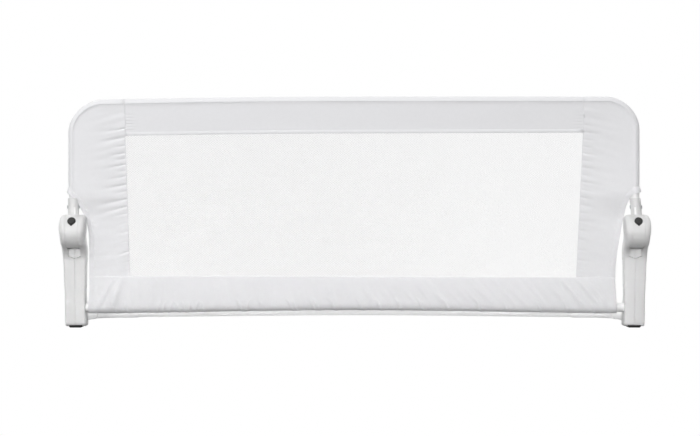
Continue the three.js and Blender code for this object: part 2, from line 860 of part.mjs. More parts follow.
function rearElbow() {
  const path = new BentPath(
    new THREE.Vector3(0, legBarDepth - elbowRadius - elbowSocket, 0),
    new THREE.Vector3(0, legBarDepth, 0),
    new THREE.Vector3(-elbowRadius - elbowSocket, legBarDepth, 0),
    elbowRadius,
  );
  return sweep(ring(elbowOuter, tubeRadius + clearance), path, bendSteps + 2);
}

function rearCrossbar() {
  const path = new BowedPath(halfSpacing - elbowRadius, rearBarRise, legBarDepth, 0);
  return sweep(ring(tubeRadius, boreRadius), path, bowSteps);
}

// Lower tube between the casings

const crossTubeHalf = halfSpacing + crossTubeEnd;

function crossPath(half) {
  return new BowedPath(half, crossTubeRise, crossTubeDepth, crossTubeHeight);
}

function crossTube() {
  const tube = solid(sweep(ring(tubeRadius, boreRadius), crossPath(crossTubeHalf), bowSteps));
  const place = halfSpacing - crossScrewOffset;
  const reach = crossTubeDepth + tubeDiameter;
  const hole = barY(screwHole, crossTubeDepth, reach, place, crossTubeHeight, holeSides);
  return cut(tube, hole, hole.mirror([1, 0, 0]));
}

// Cover

// The cloth leans back from the top tube to the lower tube.
function clothDepth(height) {
  return ((railHeight - height) * crossTubeDepth) / (railHeight - crossTubeHeight);
}

function windowHalfAt(height) {
  const share = (windowTop - height) / (windowTop - windowBottom);
  return windowTopHalf + (windowBottomHalf - windowTopHalf) * Math.min(1, Math.max(0, share));
}

// A closed slab of cloth: place gives the middle of the cloth at a share across and a share down.
function clothSlab(across, down, place, thickness = clothThickness) {
  const points = [];
  const faces = [];
  const row = across + 1;
  const layer = row * (down + 1);
  for (const side of [-1, 1]) {
    for (let j = 0; j <= down; j += 1) {
      for (let i = 0; i <= across; i += 1) {
        const at = place(i / across, j / down);
        points.push(at.x, at.y + (side * thickness) / 2, at.z);
      }
    }
  }
  const quad = (a, b, c, d) => faces.push(a, b, c, a, c, d);
  for (let j = 0; j < down; j += 1) {
    for (let i = 0; i < across; i += 1) {
      const a = j * row + i;
      quad(a, a + row, a + row + 1, a + 1);
      quad(layer + a, layer + a + 1, layer + a + row + 1, layer + a + row);
    }
  }
  const last = down * row;
  for (let i = 0; i < across; i += 1) {
    quad(i, i + 1, layer + i + 1, layer + i);
    quad(last + i, layer + last + i, layer + last + i + 1, last + i + 1);
  }
  for (let j = 0; j < down; j += 1) {
    const left = j * row;
    const right = left + across;
    quad(left, layer + left, layer + left + row, left + row);
    quad(right, right + row, layer + right + row, layer + right);
  }
  const geometry = new THREE.BufferGeometry();
  geometry.setAttribute("position", new THREE.Float32BufferAttribute(points, 3));
  geometry.setIndex(faces);
  return geometry;
}

const sleeveInner = tubeRadius + clothGap;
const sleeveOuter = sleeveInner + sleeveWall;
const sleeveMiddle = sleeveInner + sleeveWall / 2;
const panelTop = railHeight - sleeveMiddle;

function tuckAt(height) {
  return smooth((edgeTuckStart - height) / (edgeTuckStart - edgeTuckEnd));
}

// Outer edge of a side panel: round the corner inside the sleeve, down it, and in past the casing.
function panelOuterAt(height) {
  const bendHeight = railHeight - railCornerRadius;
  const bend = railCornerRadius - sleeveMiddle;
  if (height > bendHeight) {
    return cornerStart + Math.sqrt(Math.max(0, bend ** 2 - (height - bendHeight) ** 2));
  }
  const straight = halfSpacing - sleeveMiddle;
  return straight + (coverHalfWidth - straight) * tuckAt(height);
}

function panelInnerAt(height) {
  const edge = windowHalfAt(height) + seamGap / 2;
  return height > windowTop ? windowTopHalf + seamGap / 2 : edge;
}

// Gathers run out from the window's edge and die away towards the side.
function gather(share, height) {
  const wave = Math.sin((2 * Math.PI * (height + panelFoldSlant * share)) / panelFoldPitch);
  const fade = Math.sin(Math.PI * Math.min(1, share + 1 / 4)) * (1 - share);
  return panelFold * wave * fade;
}

function panelPlace(top, bottom) {
  return (across, down) => {
    const height = top + (bottom - top) * down;
    const inner = panelInnerAt(height);
    const x = inner + (panelOuterAt(height) - inner) * across;
    const lean = clothDepth(height) * (1 - across * (1 - tuckAt(height)));
    const edges = Math.min(1, 4 * (1 - Math.abs(2 * down - 1)));
    return new THREE.Vector3(x, lean + gather(across, height) * edges, height);
  };
}

function upperPanel() {
  const bottom = hingeHeight + splitDrop;
  const slab = solid(clothSlab(panelColumns, upperPanelRows, panelPlace(panelTop, bottom)));
  const path = cornerPath(windowTopHalf + seamGap / 2, sleeveEnd);
  return slab.add(solid(sweep(ring(sleeveOuter, sleeveInner), path, bendSteps + 2)));
}

function lowerPanel() {
  const place = panelPlace(hingeHeight - splitDrop, windowBottom + seamGap / 2);
  return clothSlab(panelColumns, lowerPanelRows, place);
}

// The top band is sewn round the top tube and hangs to the window.
function topBand() {
  const half = windowTopHalf - seamGap / 2;
  const sleeve = sideExtrude(ring(sleeveOuter, sleeveInner), -half, half).translate(0, 0, railHeight);
  const bottom = windowTop + seamGap / 2;
  const tail = clothSlab(1, 1, (across, down) => {
    const height = panelTop + (bottom - panelTop) * down;
    return new THREE.Vector3(-half + 2 * half * across, clothDepth(height), height);
  });
  return solid(sleeve).add(solid(tail));
}

// The bottom band hangs from the window over the front of the lower tube and is sewn round it.
function bottomBand() {
  const half = coverHalfWidth;
  const path = crossPath(crossTubeHalf);
  const sleeve = solid(sweep(ring(sleeveOuter, sleeveInner), path, bowSteps));
  const reach = new THREE.Vector3(half, railHeight, railHeight);
  const trimmed = sleeve.intersect(solid(box(reach.clone().negate(), reach)));
  const top = windowBottom - seamGap / 2;
  const sheet = clothSlab(bandColumns, bandRows, (across, down) => {
    const x = -half + 2 * half * across;
    const foot = path.getPoint((x / crossTubeHalf + 1) / 2).z;
    const height = top + (foot - top) * down;
    const depth = clothDepth(top) * (1 - down) + (crossTubeDepth - sleeveOuter) * down;
    const lean = (-bandFoldSlant * x) / half;
    const wave = Math.sin((2 * Math.PI * (x + lean * down)) / bandFoldPitch);
    return new THREE.Vector3(x, depth - (bandFold / 2) * (1 + wave) * Math.sin(Math.PI * down), height);
  });
  return trimmed.add(solid(sheet));
}

// Mesh window as a flat net of diamonds inside a plain border.
function netPanel(top, bottom, rows) {
  const outline = new THREE.Shape([
    new THREE.Vector2(-windowHalfAt(bottom) + seamGap, bottom),
    new THREE.Vector2(windowHalfAt(bottom) - seamGap, bottom),
    new THREE.Vector2(windowHalfAt(top) - seamGap, top),
    new THREE.Vector2(-windowHalfAt(top) + seamGap, top),
  ]);
  const narrow = Math.min(windowHalfAt(bottom), windowHalfAt(top));
  const width = 2 * (narrow - seamGap - netBorder);
  const columnPitch = width / netColumns;
  const rowPitch = (top - bottom - 2 * netBorder) / rows;
  const halfWide = (columnPitch - netStrand) / 2;
  const halfHigh = (rowPitch - netStrand) / 2;
  for (let j = 0; j < 2 * rows - 1; j += 1) {
    const count = netColumns - (j % 2);
    const height = bottom + netBorder + ((j + 1) * rowPitch) / 2;
    for (let i = 0; i < count; i += 1) {
      const x = (i - (count - 1) / 2) * columnPitch;
      const gap = [
        new THREE.Vector2(x - halfWide, height),
        new THREE.Vector2(x, height - halfHigh),
        new THREE.Vector2(x + halfWide, height),
        new THREE.Vector2(x, height + halfHigh),
      ];
      outline.holes.push(new THREE.Path(gap));
    }
  }
  const geometry = frontExtrude(outline, -netThickness / 2, netThickness / 2);
  const at = geometry.attributes.position;
  for (let i = 0; i < at.count; i += 1) at.setY(i, at.getY(i) + clothDepth(at.getZ(i)));
  return geometry;
}

// Assembly

function casingGroup(side) {
  const group = new THREE.Group();
  group.position.x = halfSpacing;
  group.add(piece(`${side}_casing_outer_shell`, outerShell(), whitePlastic));
  group.add(piece(`${side}_casing_inner_shell`, innerShell(), whitePlastic));
  group.add(piece(`${side}_foot_pad`, footPad(), blackRubber));
  casingScrews.forEach((screw, i) => {
    const seat = headSeat(screw);
    const shape = screwX(-seat, seat + screwReach, screw);
    group.add(piece(`${side}_casing_screw_${i + 1}`, shape, zincSteel));
  });
  const legScrew = screwX(-legScrewSeat, legScrewLength, legScrewPlace());
  group.add(piece(`${side}_leg_screw`, legScrew, zincSteel));
  const crossScrew = screwX(0, crossScrewLength, { depth: 0, height: 0 }).rotateZ(-Math.PI / 2);
  crossScrew.translate(-crossScrewOffset, crossScrewDepth, crossTubeHeight);
  group.add(piece(`${side}_lower_tube_screw`, crossScrew, zincSteel));
  return group;
}

function hingeGroup(side) {
  const group = new THREE.Group();
  group.position.set(halfSpacing, 0, hingeHeight);
  group.add(piece(`${side}_hinge_pin`, hingePin(), zincSteel));
  group.add(piece(`${side}_hinge_rotor`, hingeRotor(), whitePlastic));
  group.add(piece(`${side}_tube_rivet`, tubeRivet(), zincSteel));
  const leaned = new THREE.Group();
  leaned.rotation.x = buttonLean * radians;
  leaned.add(piece(`${side}_release_button`, releaseButton(), blackPlastic));
  leaned.add(piece(`${side}_lock_pin`, lockPin(), zincSteel));
  leaned.add(piece(`${side}_button_spring`, buttonSpring(), zincSteel));
  group.add(leaned);
  return group;
}

// The leg frame's own group: from the front end of the leg tubes, leaning down to the floor.
function legFrame(x) {
  const group = new THREE.Group();
  group.position.set(x, legTubeStart, legSocketHeight);
  group.rotation.x = -legSlope;
  return group;
}

function legGroup(side) {
  const group = legFrame(halfSpacing);
  group.add(piece(`${side}_leg_tube`, legTube(), whiteTube));
  group.add(piece(`${side}_rear_elbow`, rearElbow(), whitePlastic));
  return group;
}

function sideGroup(side) {
  const group = new THREE.Group();
  group.add(casingGroup(side), hingeGroup(side), legGroup(side));
  group.add(piece(`${side}_corner_tube`, cornerTube(), whiteTube));
  group.add(piece(`${side}_snap_button`, snapButton(), zincSteel));
  group.add(piece(`${side}_upper_panel`, upperPanel(), whiteCloth));
  group.add(piece(`${side}_lower_panel`, lowerPanel(), whiteCloth));
  return group;
}

const guard = new THREE.Group();

// Each side is drawn for the right, and the left is its mirror image.
const leftSide = sideGroup("left");
leftSide.scale.x = -1;
guard.add(leftSide, sideGroup("right"));

const rearFrame = legFrame(0);
rearFrame.add(piece("rear_crossbar", rearCrossbar(), whiteTube));
guard.add(rearFrame);
guard.add(piece("lower_cross_tube", crossTube(), whiteTube));
guard.add(piece("top_tube", topTube(), whiteTube));
guard.add(piece("cover_top_band", topBand(), whiteCloth));
guard.add(piece("cover_bottom_band", bottomBand(), whiteCloth));
const splitTop = hingeHeight + splitDrop;
const splitBottom = hingeHeight - splitDrop;
const upperNet = netPanel(windowTop - seamGap / 2, splitTop, upperNetRows);
const lowerNet = netPanel(splitBottom, windowBottom + seamGap / 2, lowerNetRows);
guard.add(piece("window_upper_net", upperNet, whiteNet));
guard.add(piece("window_lower_net", lowerNet, whiteNet));

// The origin lies under the middle of the guard's depth.
guard.updateMatrixWorld(true);
const outerBox = new THREE.Box3().setFromObject(guard, true);
guard.position.y = -(outerBox.min.y + outerBox.max.y) / 2;

export default guard;
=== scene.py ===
# %% [markdown]
# # A folding bed guard rail
# The guard is a white cloth cover with a mesh window, stretched over a bent tube.
# Two moulded casings hold the hinges, and a leg frame runs back under the mattress.
# The working model is loaded as a fixed frame, and every piece below is fitted to it.

# %% Load the working model
import math
import random

import bmesh
import bpy
import numpy as np
from mathutils import Matrix, Vector, noise


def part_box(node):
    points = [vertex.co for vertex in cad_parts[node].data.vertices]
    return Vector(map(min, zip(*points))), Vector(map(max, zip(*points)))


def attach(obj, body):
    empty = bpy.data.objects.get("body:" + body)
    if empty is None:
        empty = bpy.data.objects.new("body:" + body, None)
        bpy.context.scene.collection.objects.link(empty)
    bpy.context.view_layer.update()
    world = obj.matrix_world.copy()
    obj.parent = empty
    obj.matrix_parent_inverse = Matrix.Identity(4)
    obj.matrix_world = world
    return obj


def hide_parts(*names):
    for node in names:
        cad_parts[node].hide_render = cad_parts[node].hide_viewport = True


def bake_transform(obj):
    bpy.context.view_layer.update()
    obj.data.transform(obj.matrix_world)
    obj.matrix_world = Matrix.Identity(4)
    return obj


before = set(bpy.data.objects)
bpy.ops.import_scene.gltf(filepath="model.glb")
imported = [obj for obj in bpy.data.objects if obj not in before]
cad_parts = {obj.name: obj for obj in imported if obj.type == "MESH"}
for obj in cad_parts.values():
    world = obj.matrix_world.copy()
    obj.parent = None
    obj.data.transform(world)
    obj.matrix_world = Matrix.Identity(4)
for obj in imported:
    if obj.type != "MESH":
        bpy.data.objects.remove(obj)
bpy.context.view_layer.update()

# %% [markdown]
# Everything is drawn in millimetres, with the fold axis above y = 0, because that is how the
# hinge is easiest to think about. One matrix brings a finished piece to its place in metres.
# The places that other pieces depend on are read from the frame, not typed again.

# %% Places taken from the frame
MM = 0.001


def box_of(node):
    low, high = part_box(node)
    return Vector(low) / MM, Vector(high) / MM


def middle_of(node):
    low, high = box_of(node)
    return (low + high) / 2


AXIS = middle_of("right_hinge_pin")
SIDE_X = AXIS.x
AXIS_Z = AXIS.z
TO_ROW = Matrix.Translation((0, AXIS.y * MM, 0)) @ Matrix.Diagonal((MM, MM, MM, 1))

TUBE_R = (box_of("top_tube")[1] - box_of("top_tube")[0]).z / 2
RAIL_Z = middle_of("top_tube").z
CROSS_Y = middle_of("lower_cross_tube").y - AXIS.y
CROSS_Z = box_of("lower_cross_tube")[0].z + TUBE_R
CROSS_RISE = box_of("lower_cross_tube")[1].z - TUBE_R - CROSS_Z
TUBE_WALL = 1.2
BEND_R = 51
BEND_X = SIDE_X - BEND_R
print("fold axis", AXIS[:], "rail height", RAIL_Z, "lower tube", CROSS_Y, CROSS_Z, CROSS_RISE)

# %% [markdown]
# A piece is a bmesh until it is done. These helpers make the shapes that this object repeats:
# a skin through rows of points for bent tubes and cloth, a turned profile for round parts,
# a prism for flat parts, and a boolean for the hollows. Each is a Blender operator at heart.

# %% Shaping helpers


def smooth(t):
    t = min(1.0, max(0.0, t))
    return t * t * (3 - 2 * t)


def between(table, at):
    """The value at a place, read from a short list of (place, value) pairs."""
    places, values = zip(*sorted(table))
    return float(np.interp(at, places, values))


def skin(rows, across=False, along=False):
    """Faces through rows of points. A direction that is wrapped closes on itself."""
    rows = [list(row) + [row[0]] * across for row in rows]
    rows = rows + rows[:1] * along
    bm = bmesh.new()
    bmesh.ops.create_grid(bm, x_segments=len(rows[0]) - 1, y_segments=len(rows) - 1, size=1)
    bm.verts.ensure_lookup_table()
    points = [point for row in rows for point in row]
    for vert, point in zip(bm.verts, points, strict=True):
        vert.co = point
    if across or along:
        bmesh.ops.remove_doubles(bm, verts=bm.verts, dist=0.001)
    bmesh.ops.recalc_face_normals(bm, faces=bm.faces)
    return bm


def turned(profile, steps=48):
    """A profile of (place along X, radius) pairs, turned about the X axis."""
    bm = bmesh.new()
    verts = [bm.verts.new((along, radius, 0)) for along, radius in profile]
    edges = [bm.edges.new(pair) for pair in zip(verts, verts[1:])]
    whole_turn = 2 * math.pi
    bmesh.ops.spin(
        bm, geom=verts + edges, cent=(0, 0, 0), axis=(1, 0, 0), angle=whole_turn, steps=steps, use_merge=True
    )
    bmesh.ops.remove_doubles(bm, verts=bm.verts, dist=0.001)
    bmesh.ops.recalc_face_normals(bm, faces=bm.faces)
    return bm


def rod(radius, low, high, edge=0.0, steps=48):
    """A round bar along X, its two rims eased by a small edge."""
    profile = [(low, 0), (low, radius - edge), (low + edge, radius)]
    profile += [(high - edge, radius), (high, radius - edge), (high, 0)]
    return turned(profile if edge else [profile[0], (low, radius), (high, radius), profile[-1]], steps)


def prism(outline, low, high):
    """A flat outline in X and Y, drawn up along Z."""
    bm = bmesh.new()
    face = bm.faces.new([bm.verts.new((x, y, low)) for x, y in outline])
    made = bmesh.ops.extrude_face_region(bm, geom=[face])["geom"]
    top = [item for item in made if isinstance(item, bmesh.types.BMVert)]
    bmesh.ops.translate(bm, verts=top, vec=(0, 0, high - low))
    bmesh.ops.recalc_face_normals(bm, faces=bm.faces)
    return bm


def rim_edges(bm, height):
    return [e for e in bm.edges if all(abs(v.co.z - height) < 0.001 for v in e.verts)]


def bevelled(bm, edges, offset, segments):
    bmesh.ops.bevel(
        bm, geom=edges, offset=offset, segments=segments, profile=0.5, affect="EDGES", material=-1
    )
    return bm


def moved(bm, matrix):
    bm.transform(matrix)
    return bm


def shift(x=0.0, y=0.0, z=0.0):
    return Matrix.Translation((x, y, z))


def turn(degrees, axis):
    return Matrix.Rotation(math.radians(degrees), 4, axis)


def merged(parts):
    """Several bmeshes as one, each still a shell of its own."""
    whole = bmesh.new()
    for part in parts:
        mesh = bpy.data.meshes.new("part")
        part.to_mesh(mesh)
        part.free()
        whole.from_mesh(mesh)
        bpy.data.meshes.remove(mesh)
    return whole


def bare_object(name, bm):
    mesh = bpy.data.meshes.new(name)
    bm.to_mesh(mesh)
    bm.free()
    made = bpy.data.objects.new(name, mesh)
    bpy.context.collection.objects.link(made)
    return made


def combined(body, others, operation="DIFFERENCE"):
    """The body with the others cut away from it or joined to it."""
    held = bare_object("body", body)
    tools = [bare_object("tool", other) for other in others]
    for tool in tools:
        step = held.modifiers.new("step", "BOOLEAN")
        step.operation = operation
        step.solver = "EXACT"
        step.object = tool
    result = bmesh.new()
    result.from_object(held, bpy.context.evaluated_depsgraph_get())
    for item in [held, *tools]:
        mesh = item.data
        bpy.data.objects.remove(item)
        bpy.data.meshes.remove(mesh)
    return result


def mirrored(bm):
    """The same solid on the other side of the middle plane."""
    bm.transform(Matrix.Scale(-1, 4, (1, 0, 0)))
    bmesh.ops.reverse_faces(bm, faces=bm.faces)
    return bm


def finished(name, bm, finish, body, nodes=(), crease=40):
    """Brings a bmesh to its place as a piece that rides on a body and stands for CAD nodes."""
    bm.transform(TO_ROW)
    made = bare_object(name, bm)
    made.data.materials.append(finish)
    made.data.shade_smooth()
    made.data.set_sharp_from_angle(angle=math.radians(crease))
    if body:
        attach(made, body)
    if nodes:
        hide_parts(*nodes)
    return made


# %% [markdown]
# A finish is what a maker would call a colour card: the plastic, the paint or the cloth. It
# could be wired node by node, but that is long and hard to read. Here adding or multiplying
# two values makes the Math nodes, so a recipe reads as a formula, and one method makes every
# other node. Recipes work on Object coordinates, because each piece keeps its place in its mesh.

# %% The finish class


class Value:
    """A node's output that can stand in a sum."""

    def __init__(self, recipe, socket):
        self.recipe = recipe
        self.socket = socket

    def math(self, operation, first, second):
        return self.recipe.node("ShaderNodeMath", {"operation": operation}, {0: first, 1: second})

    def __add__(self, other):
        return self.math("ADD", self, other)

    def __sub__(self, other):
        return self.math("SUBTRACT", self, other)

    def __rsub__(self, other):
        return self.math("SUBTRACT", other, self)

    def __mul__(self, other):
        return self.math("MULTIPLY", self, other)

    __radd__ = __add__
    __rmul__ = __mul__


class Recipe:
    """A node tree, and the one method that adds nodes to it."""

    def __init__(self, tree):
        self.tree = tree

    def node(self, kind, settings=None, inputs=None, output=0):
        made = self.tree.nodes.new(kind)
        for key, value in (settings or {}).items():
            setattr(made, key, value)
        for key, value in (inputs or {}).items():
            self.feed(made.inputs[key], value)
        return Value(self, made.outputs[output])

    def feed(self, socket, value):
        if isinstance(value, Value):
            self.tree.links.new(value.socket, socket)
        else:
            socket.default_value = value


class Finish(Recipe):
    """One material and the nodes that make it."""

    def __init__(self, name, **constants):
        self.material = bpy.data.materials.new(name)
        self.material.use_nodes = True
        super().__init__(self.material.node_tree)
        self.shader = self.tree.nodes["Principled BSDF"]
        for socket, value in constants.items():
            self.shader.inputs[socket.replace("_", " ")].default_value = value
        self.place = self.node("ShaderNodeTexCoord", output="Object")

    def set(self, socket, value):
        self.feed(self.shader.inputs[socket], value)

    def grain(self, size_mm, detail=2.0):
        """Noise whose blotches are about this many millimetres across."""
        inputs = {"Vector": self.place, "Scale": 1 / (size_mm * MM), "Detail": detail}
        return self.node("ShaderNodeTexNoise", inputs=inputs)

    def threads(self, axis, pitch_mm):
        """Bands across one axis, one thread for each pitch."""
        settings = {"wave_type": "BANDS", "bands_direction": axis, "wave_profile": "SIN"}
        scale = math.pi / (10 * pitch_mm * MM)
        inputs = {"Vector": self.place, "Scale": scale}
        return self.node("ShaderNodeTexWave", settings, inputs, output="Fac")

    def colour_between(self, share, dark, light):
        """A Mix node set to colour: its sockets 6 and 7 are the two colours, its output 2 the mix."""
        return self.node("ShaderNodeMix", {"data_type": "RGBA"}, {0: share, 6: dark, 7: light}, output=2)

    def bump(self, height, distance_mm, strength=1.0):
        inputs = {"Height": height, "Distance": distance_mm * MM, "Strength": strength}
        self.set("Normal", self.node("ShaderNodeBump", inputs=inputs))


def grey(level, blue=0.0):
    return (level, level, level + blue, 1)


# %% [markdown]
# The moulded parts are white ABS with a fine spark texture. Powder coat on the tubes is
# glossier, with a slight orange peel. The button and the feet are black.

# %% Hard finishes


def moulded_white(name, level):
    made = Finish(name, Roughness=0.4, IOR=1.48)
    speckle = made.grain(0.5)
    shade = made.grain(28)
    made.set("Base Color", made.colour_between(shade, grey(level), grey(level + 0.025)))
    made.set("Roughness", 0.36 + 0.12 * speckle)
    made.bump(speckle, 0.05, 0.35)
    return made.material


def powder_coat():
    made = Finish("powder_coat", Roughness=0.3, IOR=1.5)
    peel = made.grain(1.8)
    made.set("Base Color", made.colour_between(made.grain(40), grey(0.82), grey(0.85)))
    made.set("Roughness", 0.25 + 0.12 * peel)
    made.bump(peel, 0.06, 0.4)
    return made.material


def black_button():
    made = Finish("black_button", Roughness=0.45, IOR=1.48)
    speckle = made.grain(0.4)
    made.set("Base Color", made.colour_between(speckle, grey(0.022), grey(0.034)))
    made.set("Roughness", 0.38 + 0.14 * speckle)
    made.bump(speckle, 0.04, 0.4)
    return made.material


def foot_rubber():
    made = Finish("foot_rubber", Roughness=0.8, IOR=1.45)
    dust = made.grain(3, 4)
    made.set("Base Color", made.colour_between(dust, grey(0.006), grey(0.016)))
    made.set("Roughness", 0.72 + 0.18 * dust)
    made.bump(made.grain(0.7), 0.08, 0.5)
    return made.material


def zinc_plate():
    made = Finish("zinc_plate", Metallic=1.0, Roughness=0.35)
    cloud = made.grain(2.2, 4)
    made.set("Base Color", made.colour_between(cloud, (0.36, 0.37, 0.39, 1), (0.55, 0.56, 0.58, 1)))
    made.set("Roughness", 0.26 + 0.22 * cloud)
    made.bump(made.grain(0.5), 0.03, 0.3)
    return made.material


# %% [markdown]
# The cover is a plain woven polyester. Two sets of bands cross as warp and weft, and a slow
# noise breaks up the white. The window's threads are knitted and a little fuzzier.

# %% Cloth finishes


def woven_cover():
    made = Finish("woven_cover", Roughness=0.85, Sheen_Weight=0.25, Sheen_Roughness=0.5)
    weave = made.threads("X", 0.55) * made.threads("Z", 0.55)
    slub = made.grain(6, 3)
    made.set("Base Color", made.colour_between(slub, (0.752, 0.752, 0.768, 1), (0.782, 0.781, 0.798, 1)))
    made.set("Roughness", 0.8 + 0.15 * weave)
    made.bump(weave + 0.6 * slub, 0.12, 0.5)
    return made.material


def mesh_thread():
    made = Finish("mesh_thread", Roughness=0.7, Sheen_Weight=0.2)
    fuzz = made.grain(0.4)
    made.set("Base Color", made.colour_between(fuzz, grey(0.8, 0.004), grey(0.84, 0.004)))
    made.bump(fuzz, 0.08, 0.5)
    return made.material


WHITE = moulded_white("moulded_white", 0.665)
# The elbows get a lighter copy of the moulded white: painted light, standing in for the light they lack in
# the cover's shade.
ELBOW_WHITE_PAINTED_LIGHT = moulded_white("elbow_white_painted_light", 0.86)
COAT = powder_coat()
BLACK = black_button()
RUBBER = foot_rubber()
ZINC = zinc_plate()
CLOTH = woven_cover()
THREAD = mesh_thread()
print("finishes", sorted(item.name for item in bpy.data.materials))

# %% [markdown]
# The casing is drawn from the side: a round head, a hollow neck in front where the folded
# rail will lie, a straight leg, and a heel that holds the leg tube. The outline is swept
# sideways with a large soft rim at the head that tightens towards the foot.

# %% Casing sizes
HEAD_R = 29
HEAD_HALF = 22.4
WAIST_HALF = 19.4
FOOT_HALF = 18
NECK_R = 26
NECK_FRONT = 11.5
FOOT_FRONT = 20
REAR = 36
HEEL_REAR = 55
HEEL_TOP = 60
HEEL_LOW = 22
FOOT_Z = 2.2
FOOT_FILLET = 8
HEAD_RIM = 8.5
REAR_TAPER = 2.6
LEG_RIM = 3.6
FOOT_CORNER = 4
SPLIT = 0.15
SPLIT_EDGE = 0.4


def arc(centre, radius, start, end, steps):
    angles = [math.radians(start + (end - start) * i / steps) for i in range(steps + 1)]
    return [(centre[0] + radius * math.cos(a), centre[1] + radius * math.sin(a)) for a in angles]


def rounded(corners, steps=5):
    """Corner points with a radius each, as an open line with its inner corners rounded."""
    line = []
    for before, (here, radius), after in zip(corners, corners[1:], corners[2:]):
        point = Vector(here)
        back = (Vector(before[0]) - point).normalized()
        ahead = (Vector(after[0]) - point).normalized()
        half = back.angle(ahead) / 2
        reach = radius / math.tan(half)
        start, end = point + back * reach, point + ahead * reach
        for i in range(steps + 1):
            t = i / steps
            bent = start.lerp(point, t).lerp(point.lerp(end, t), t)
            line.append((bent.x, bent.y))
    return line


def casing_outline():
    drop = math.sqrt((HEAD_R + NECK_R) ** 2 - (NECK_R - NECK_FRONT) ** 2)
    neck_middle = (NECK_FRONT - NECK_R, AXIS_Z - drop)
    meet = math.degrees(math.atan2(drop, NECK_R - NECK_FRONT))
    head = arc((0, AXIS_Z), HEAD_R, 0, 180 + meet, 46)
    neck = arc(neck_middle, NECK_R, meet, 0, 14)[1:]
    leg = rounded(
        [
            (neck[-1], 0),
            ((FOOT_FRONT, FOOT_Z), FOOT_FILLET),
            ((HEEL_REAR, FOOT_Z), FOOT_CORNER),
            ((HEEL_REAR, HEEL_LOW), 8),
            ((REAR, HEEL_TOP), 24),
            ((REAR, AXIS_Z - 18), 12),
            (head[0], 0),
        ]
    )
    return head + neck + leg


def rim_at(height):
    return LEG_RIM + (HEAD_RIM - LEG_RIM) * smooth((height - 112) / 44)


def half_width(height):
    to_waist = smooth((AXIS_Z - 11 - height) / 59)
    to_foot = smooth((AXIS_Z - 70 - height) / 53)
    drawn_in = 1.7 * math.exp(-(((height - 154) / 14) ** 2))
    tapered = HEAD_HALF + (WAIST_HALF - HEAD_HALF) * to_waist + (FOOT_HALF - WAIST_HALF) * to_foot
    return tapered - drawn_in


def inset_outline(outline, depth_at):
    """The outline moved inwards, by a depth that may change with height."""
    moved_line = []
    for i, (y, z) in enumerate(outline):
        ahead = outline[(i + 1) % len(outline)]
        back = outline[i - 1]
        inward = Vector((back[1] - ahead[1], ahead[0] - back[0])).normalized()
        depth = depth_at(z)
        moved_line.append((y + inward.x * depth, z + inward.y * depth))
    return moved_line


def casing_half():
    """The outer half of a casing as a solid, with its rim rounded and its width tapered."""
    outline = casing_outline()
    rows = [(SPLIT, lambda z: SPLIT_EDGE), (SPLIT + SPLIT_EDGE, lambda z: 0.0)]
    rim_steps = 7
    rings = [[(x, y, z) for y, z in inset_outline(outline, depth)] for x, depth in rows]
    for step in range(rim_steps + 1):
        angle = math.pi / 2 * step / rim_steps
        line = inset_outline(outline, lambda z: rim_at(z) * (1 - math.cos(angle)))
        ends = [HEAD_HALF - rim_at(z) * (1 - math.sin(angle)) for _, z in outline]
        rings.append([(x, y, z) for x, (y, z) in zip(ends, line)])
    bm = skin(rings, across=True)
    bmesh.ops.holes_fill(bm, edges=[e for e in bm.edges if e.is_boundary])
    for height in range(8, 192, 4):
        every = bm.verts[:] + bm.edges[:] + bm.faces[:]
        bmesh.ops.bisect_plane(bm, geom=every, plane_co=(0, 0, height), plane_no=(0, 0, 1))
    for vert in bm.verts:
        to_rear = smooth(vert.co.y / HEAD_R) * smooth((vert.co.z - AXIS_Z + 40) / 40)
        vert.co.x *= (half_width(vert.co.z) - REAR_TAPER * to_rear) / HEAD_HALF
    bmesh.ops.recalc_face_normals(bm, faces=bm.faces)
    return bm


# %% [markdown]
# What is cut out of the casing: the round well for the rotor, the pointed recess below it
# where the folded socket lies, the hollow inside, the seats of the tubes and the screw heads.

# %% Casing cutters
ROTOR_HALF = 11
BAND_HALF = 11.12
WELL_R = 34.4
RECESS_FLOOR = 15.0
CHEEK = 20.8
OVER = 8


def upright(outline, low, high):
    """An outline in X and height, drawn back along Y from low to high."""
    return moved(prism([(x, z) for x, z in outline], -high, -low), turn(90, "X"))


def sideways(outline, low, high):
    """An outline in depth and height, drawn out along X from low to high."""
    return moved(prism(outline, low, high), Matrix(((0, 0, 1, 0), (1, 0, 0, 0), (0, 1, 0, 0), (0, 0, 0, 1))))


def well_cutter():
    corner, point = AXIS_Z - 42.5, AXIS_Z - 47
    outline = [
        (-BAND_HALF, AXIS_Z),
        (-BAND_HALF, corner),
        (0, point),
        (BAND_HALF, corner),
        (BAND_HALF, AXIS_Z),
    ]
    recess = upright(outline, -HEAD_R - OVER, RECESS_FLOOR)
    for vert in recess.verts:
        if vert.co.y < 0 and vert.co.z < AXIS_Z - 40:
            vert.co.z -= 16
    well = moved(rod(WELL_R, -BAND_HALF, BAND_HALF, steps=96), shift(z=AXIS_Z))
    line = [(-0.4, AXIS_Z - 28), (-0.4, point + 0.6), (0.4, point + 0.6), (0.4, AXIS_Z - 28)]
    low, high = AXIS_Z - 31.0, AXIS_Z - 26
    mouth = [(-BAND_HALF, high), (-BAND_HALF, low), (BAND_HALF, low), (BAND_HALF, high)]
    cuts = [recess, upright(line, 0, RECESS_FLOOR + 0.9), upright(mouth, 0, RECESS_FLOOR + 8)]
    return combined(well, cuts, "UNION")


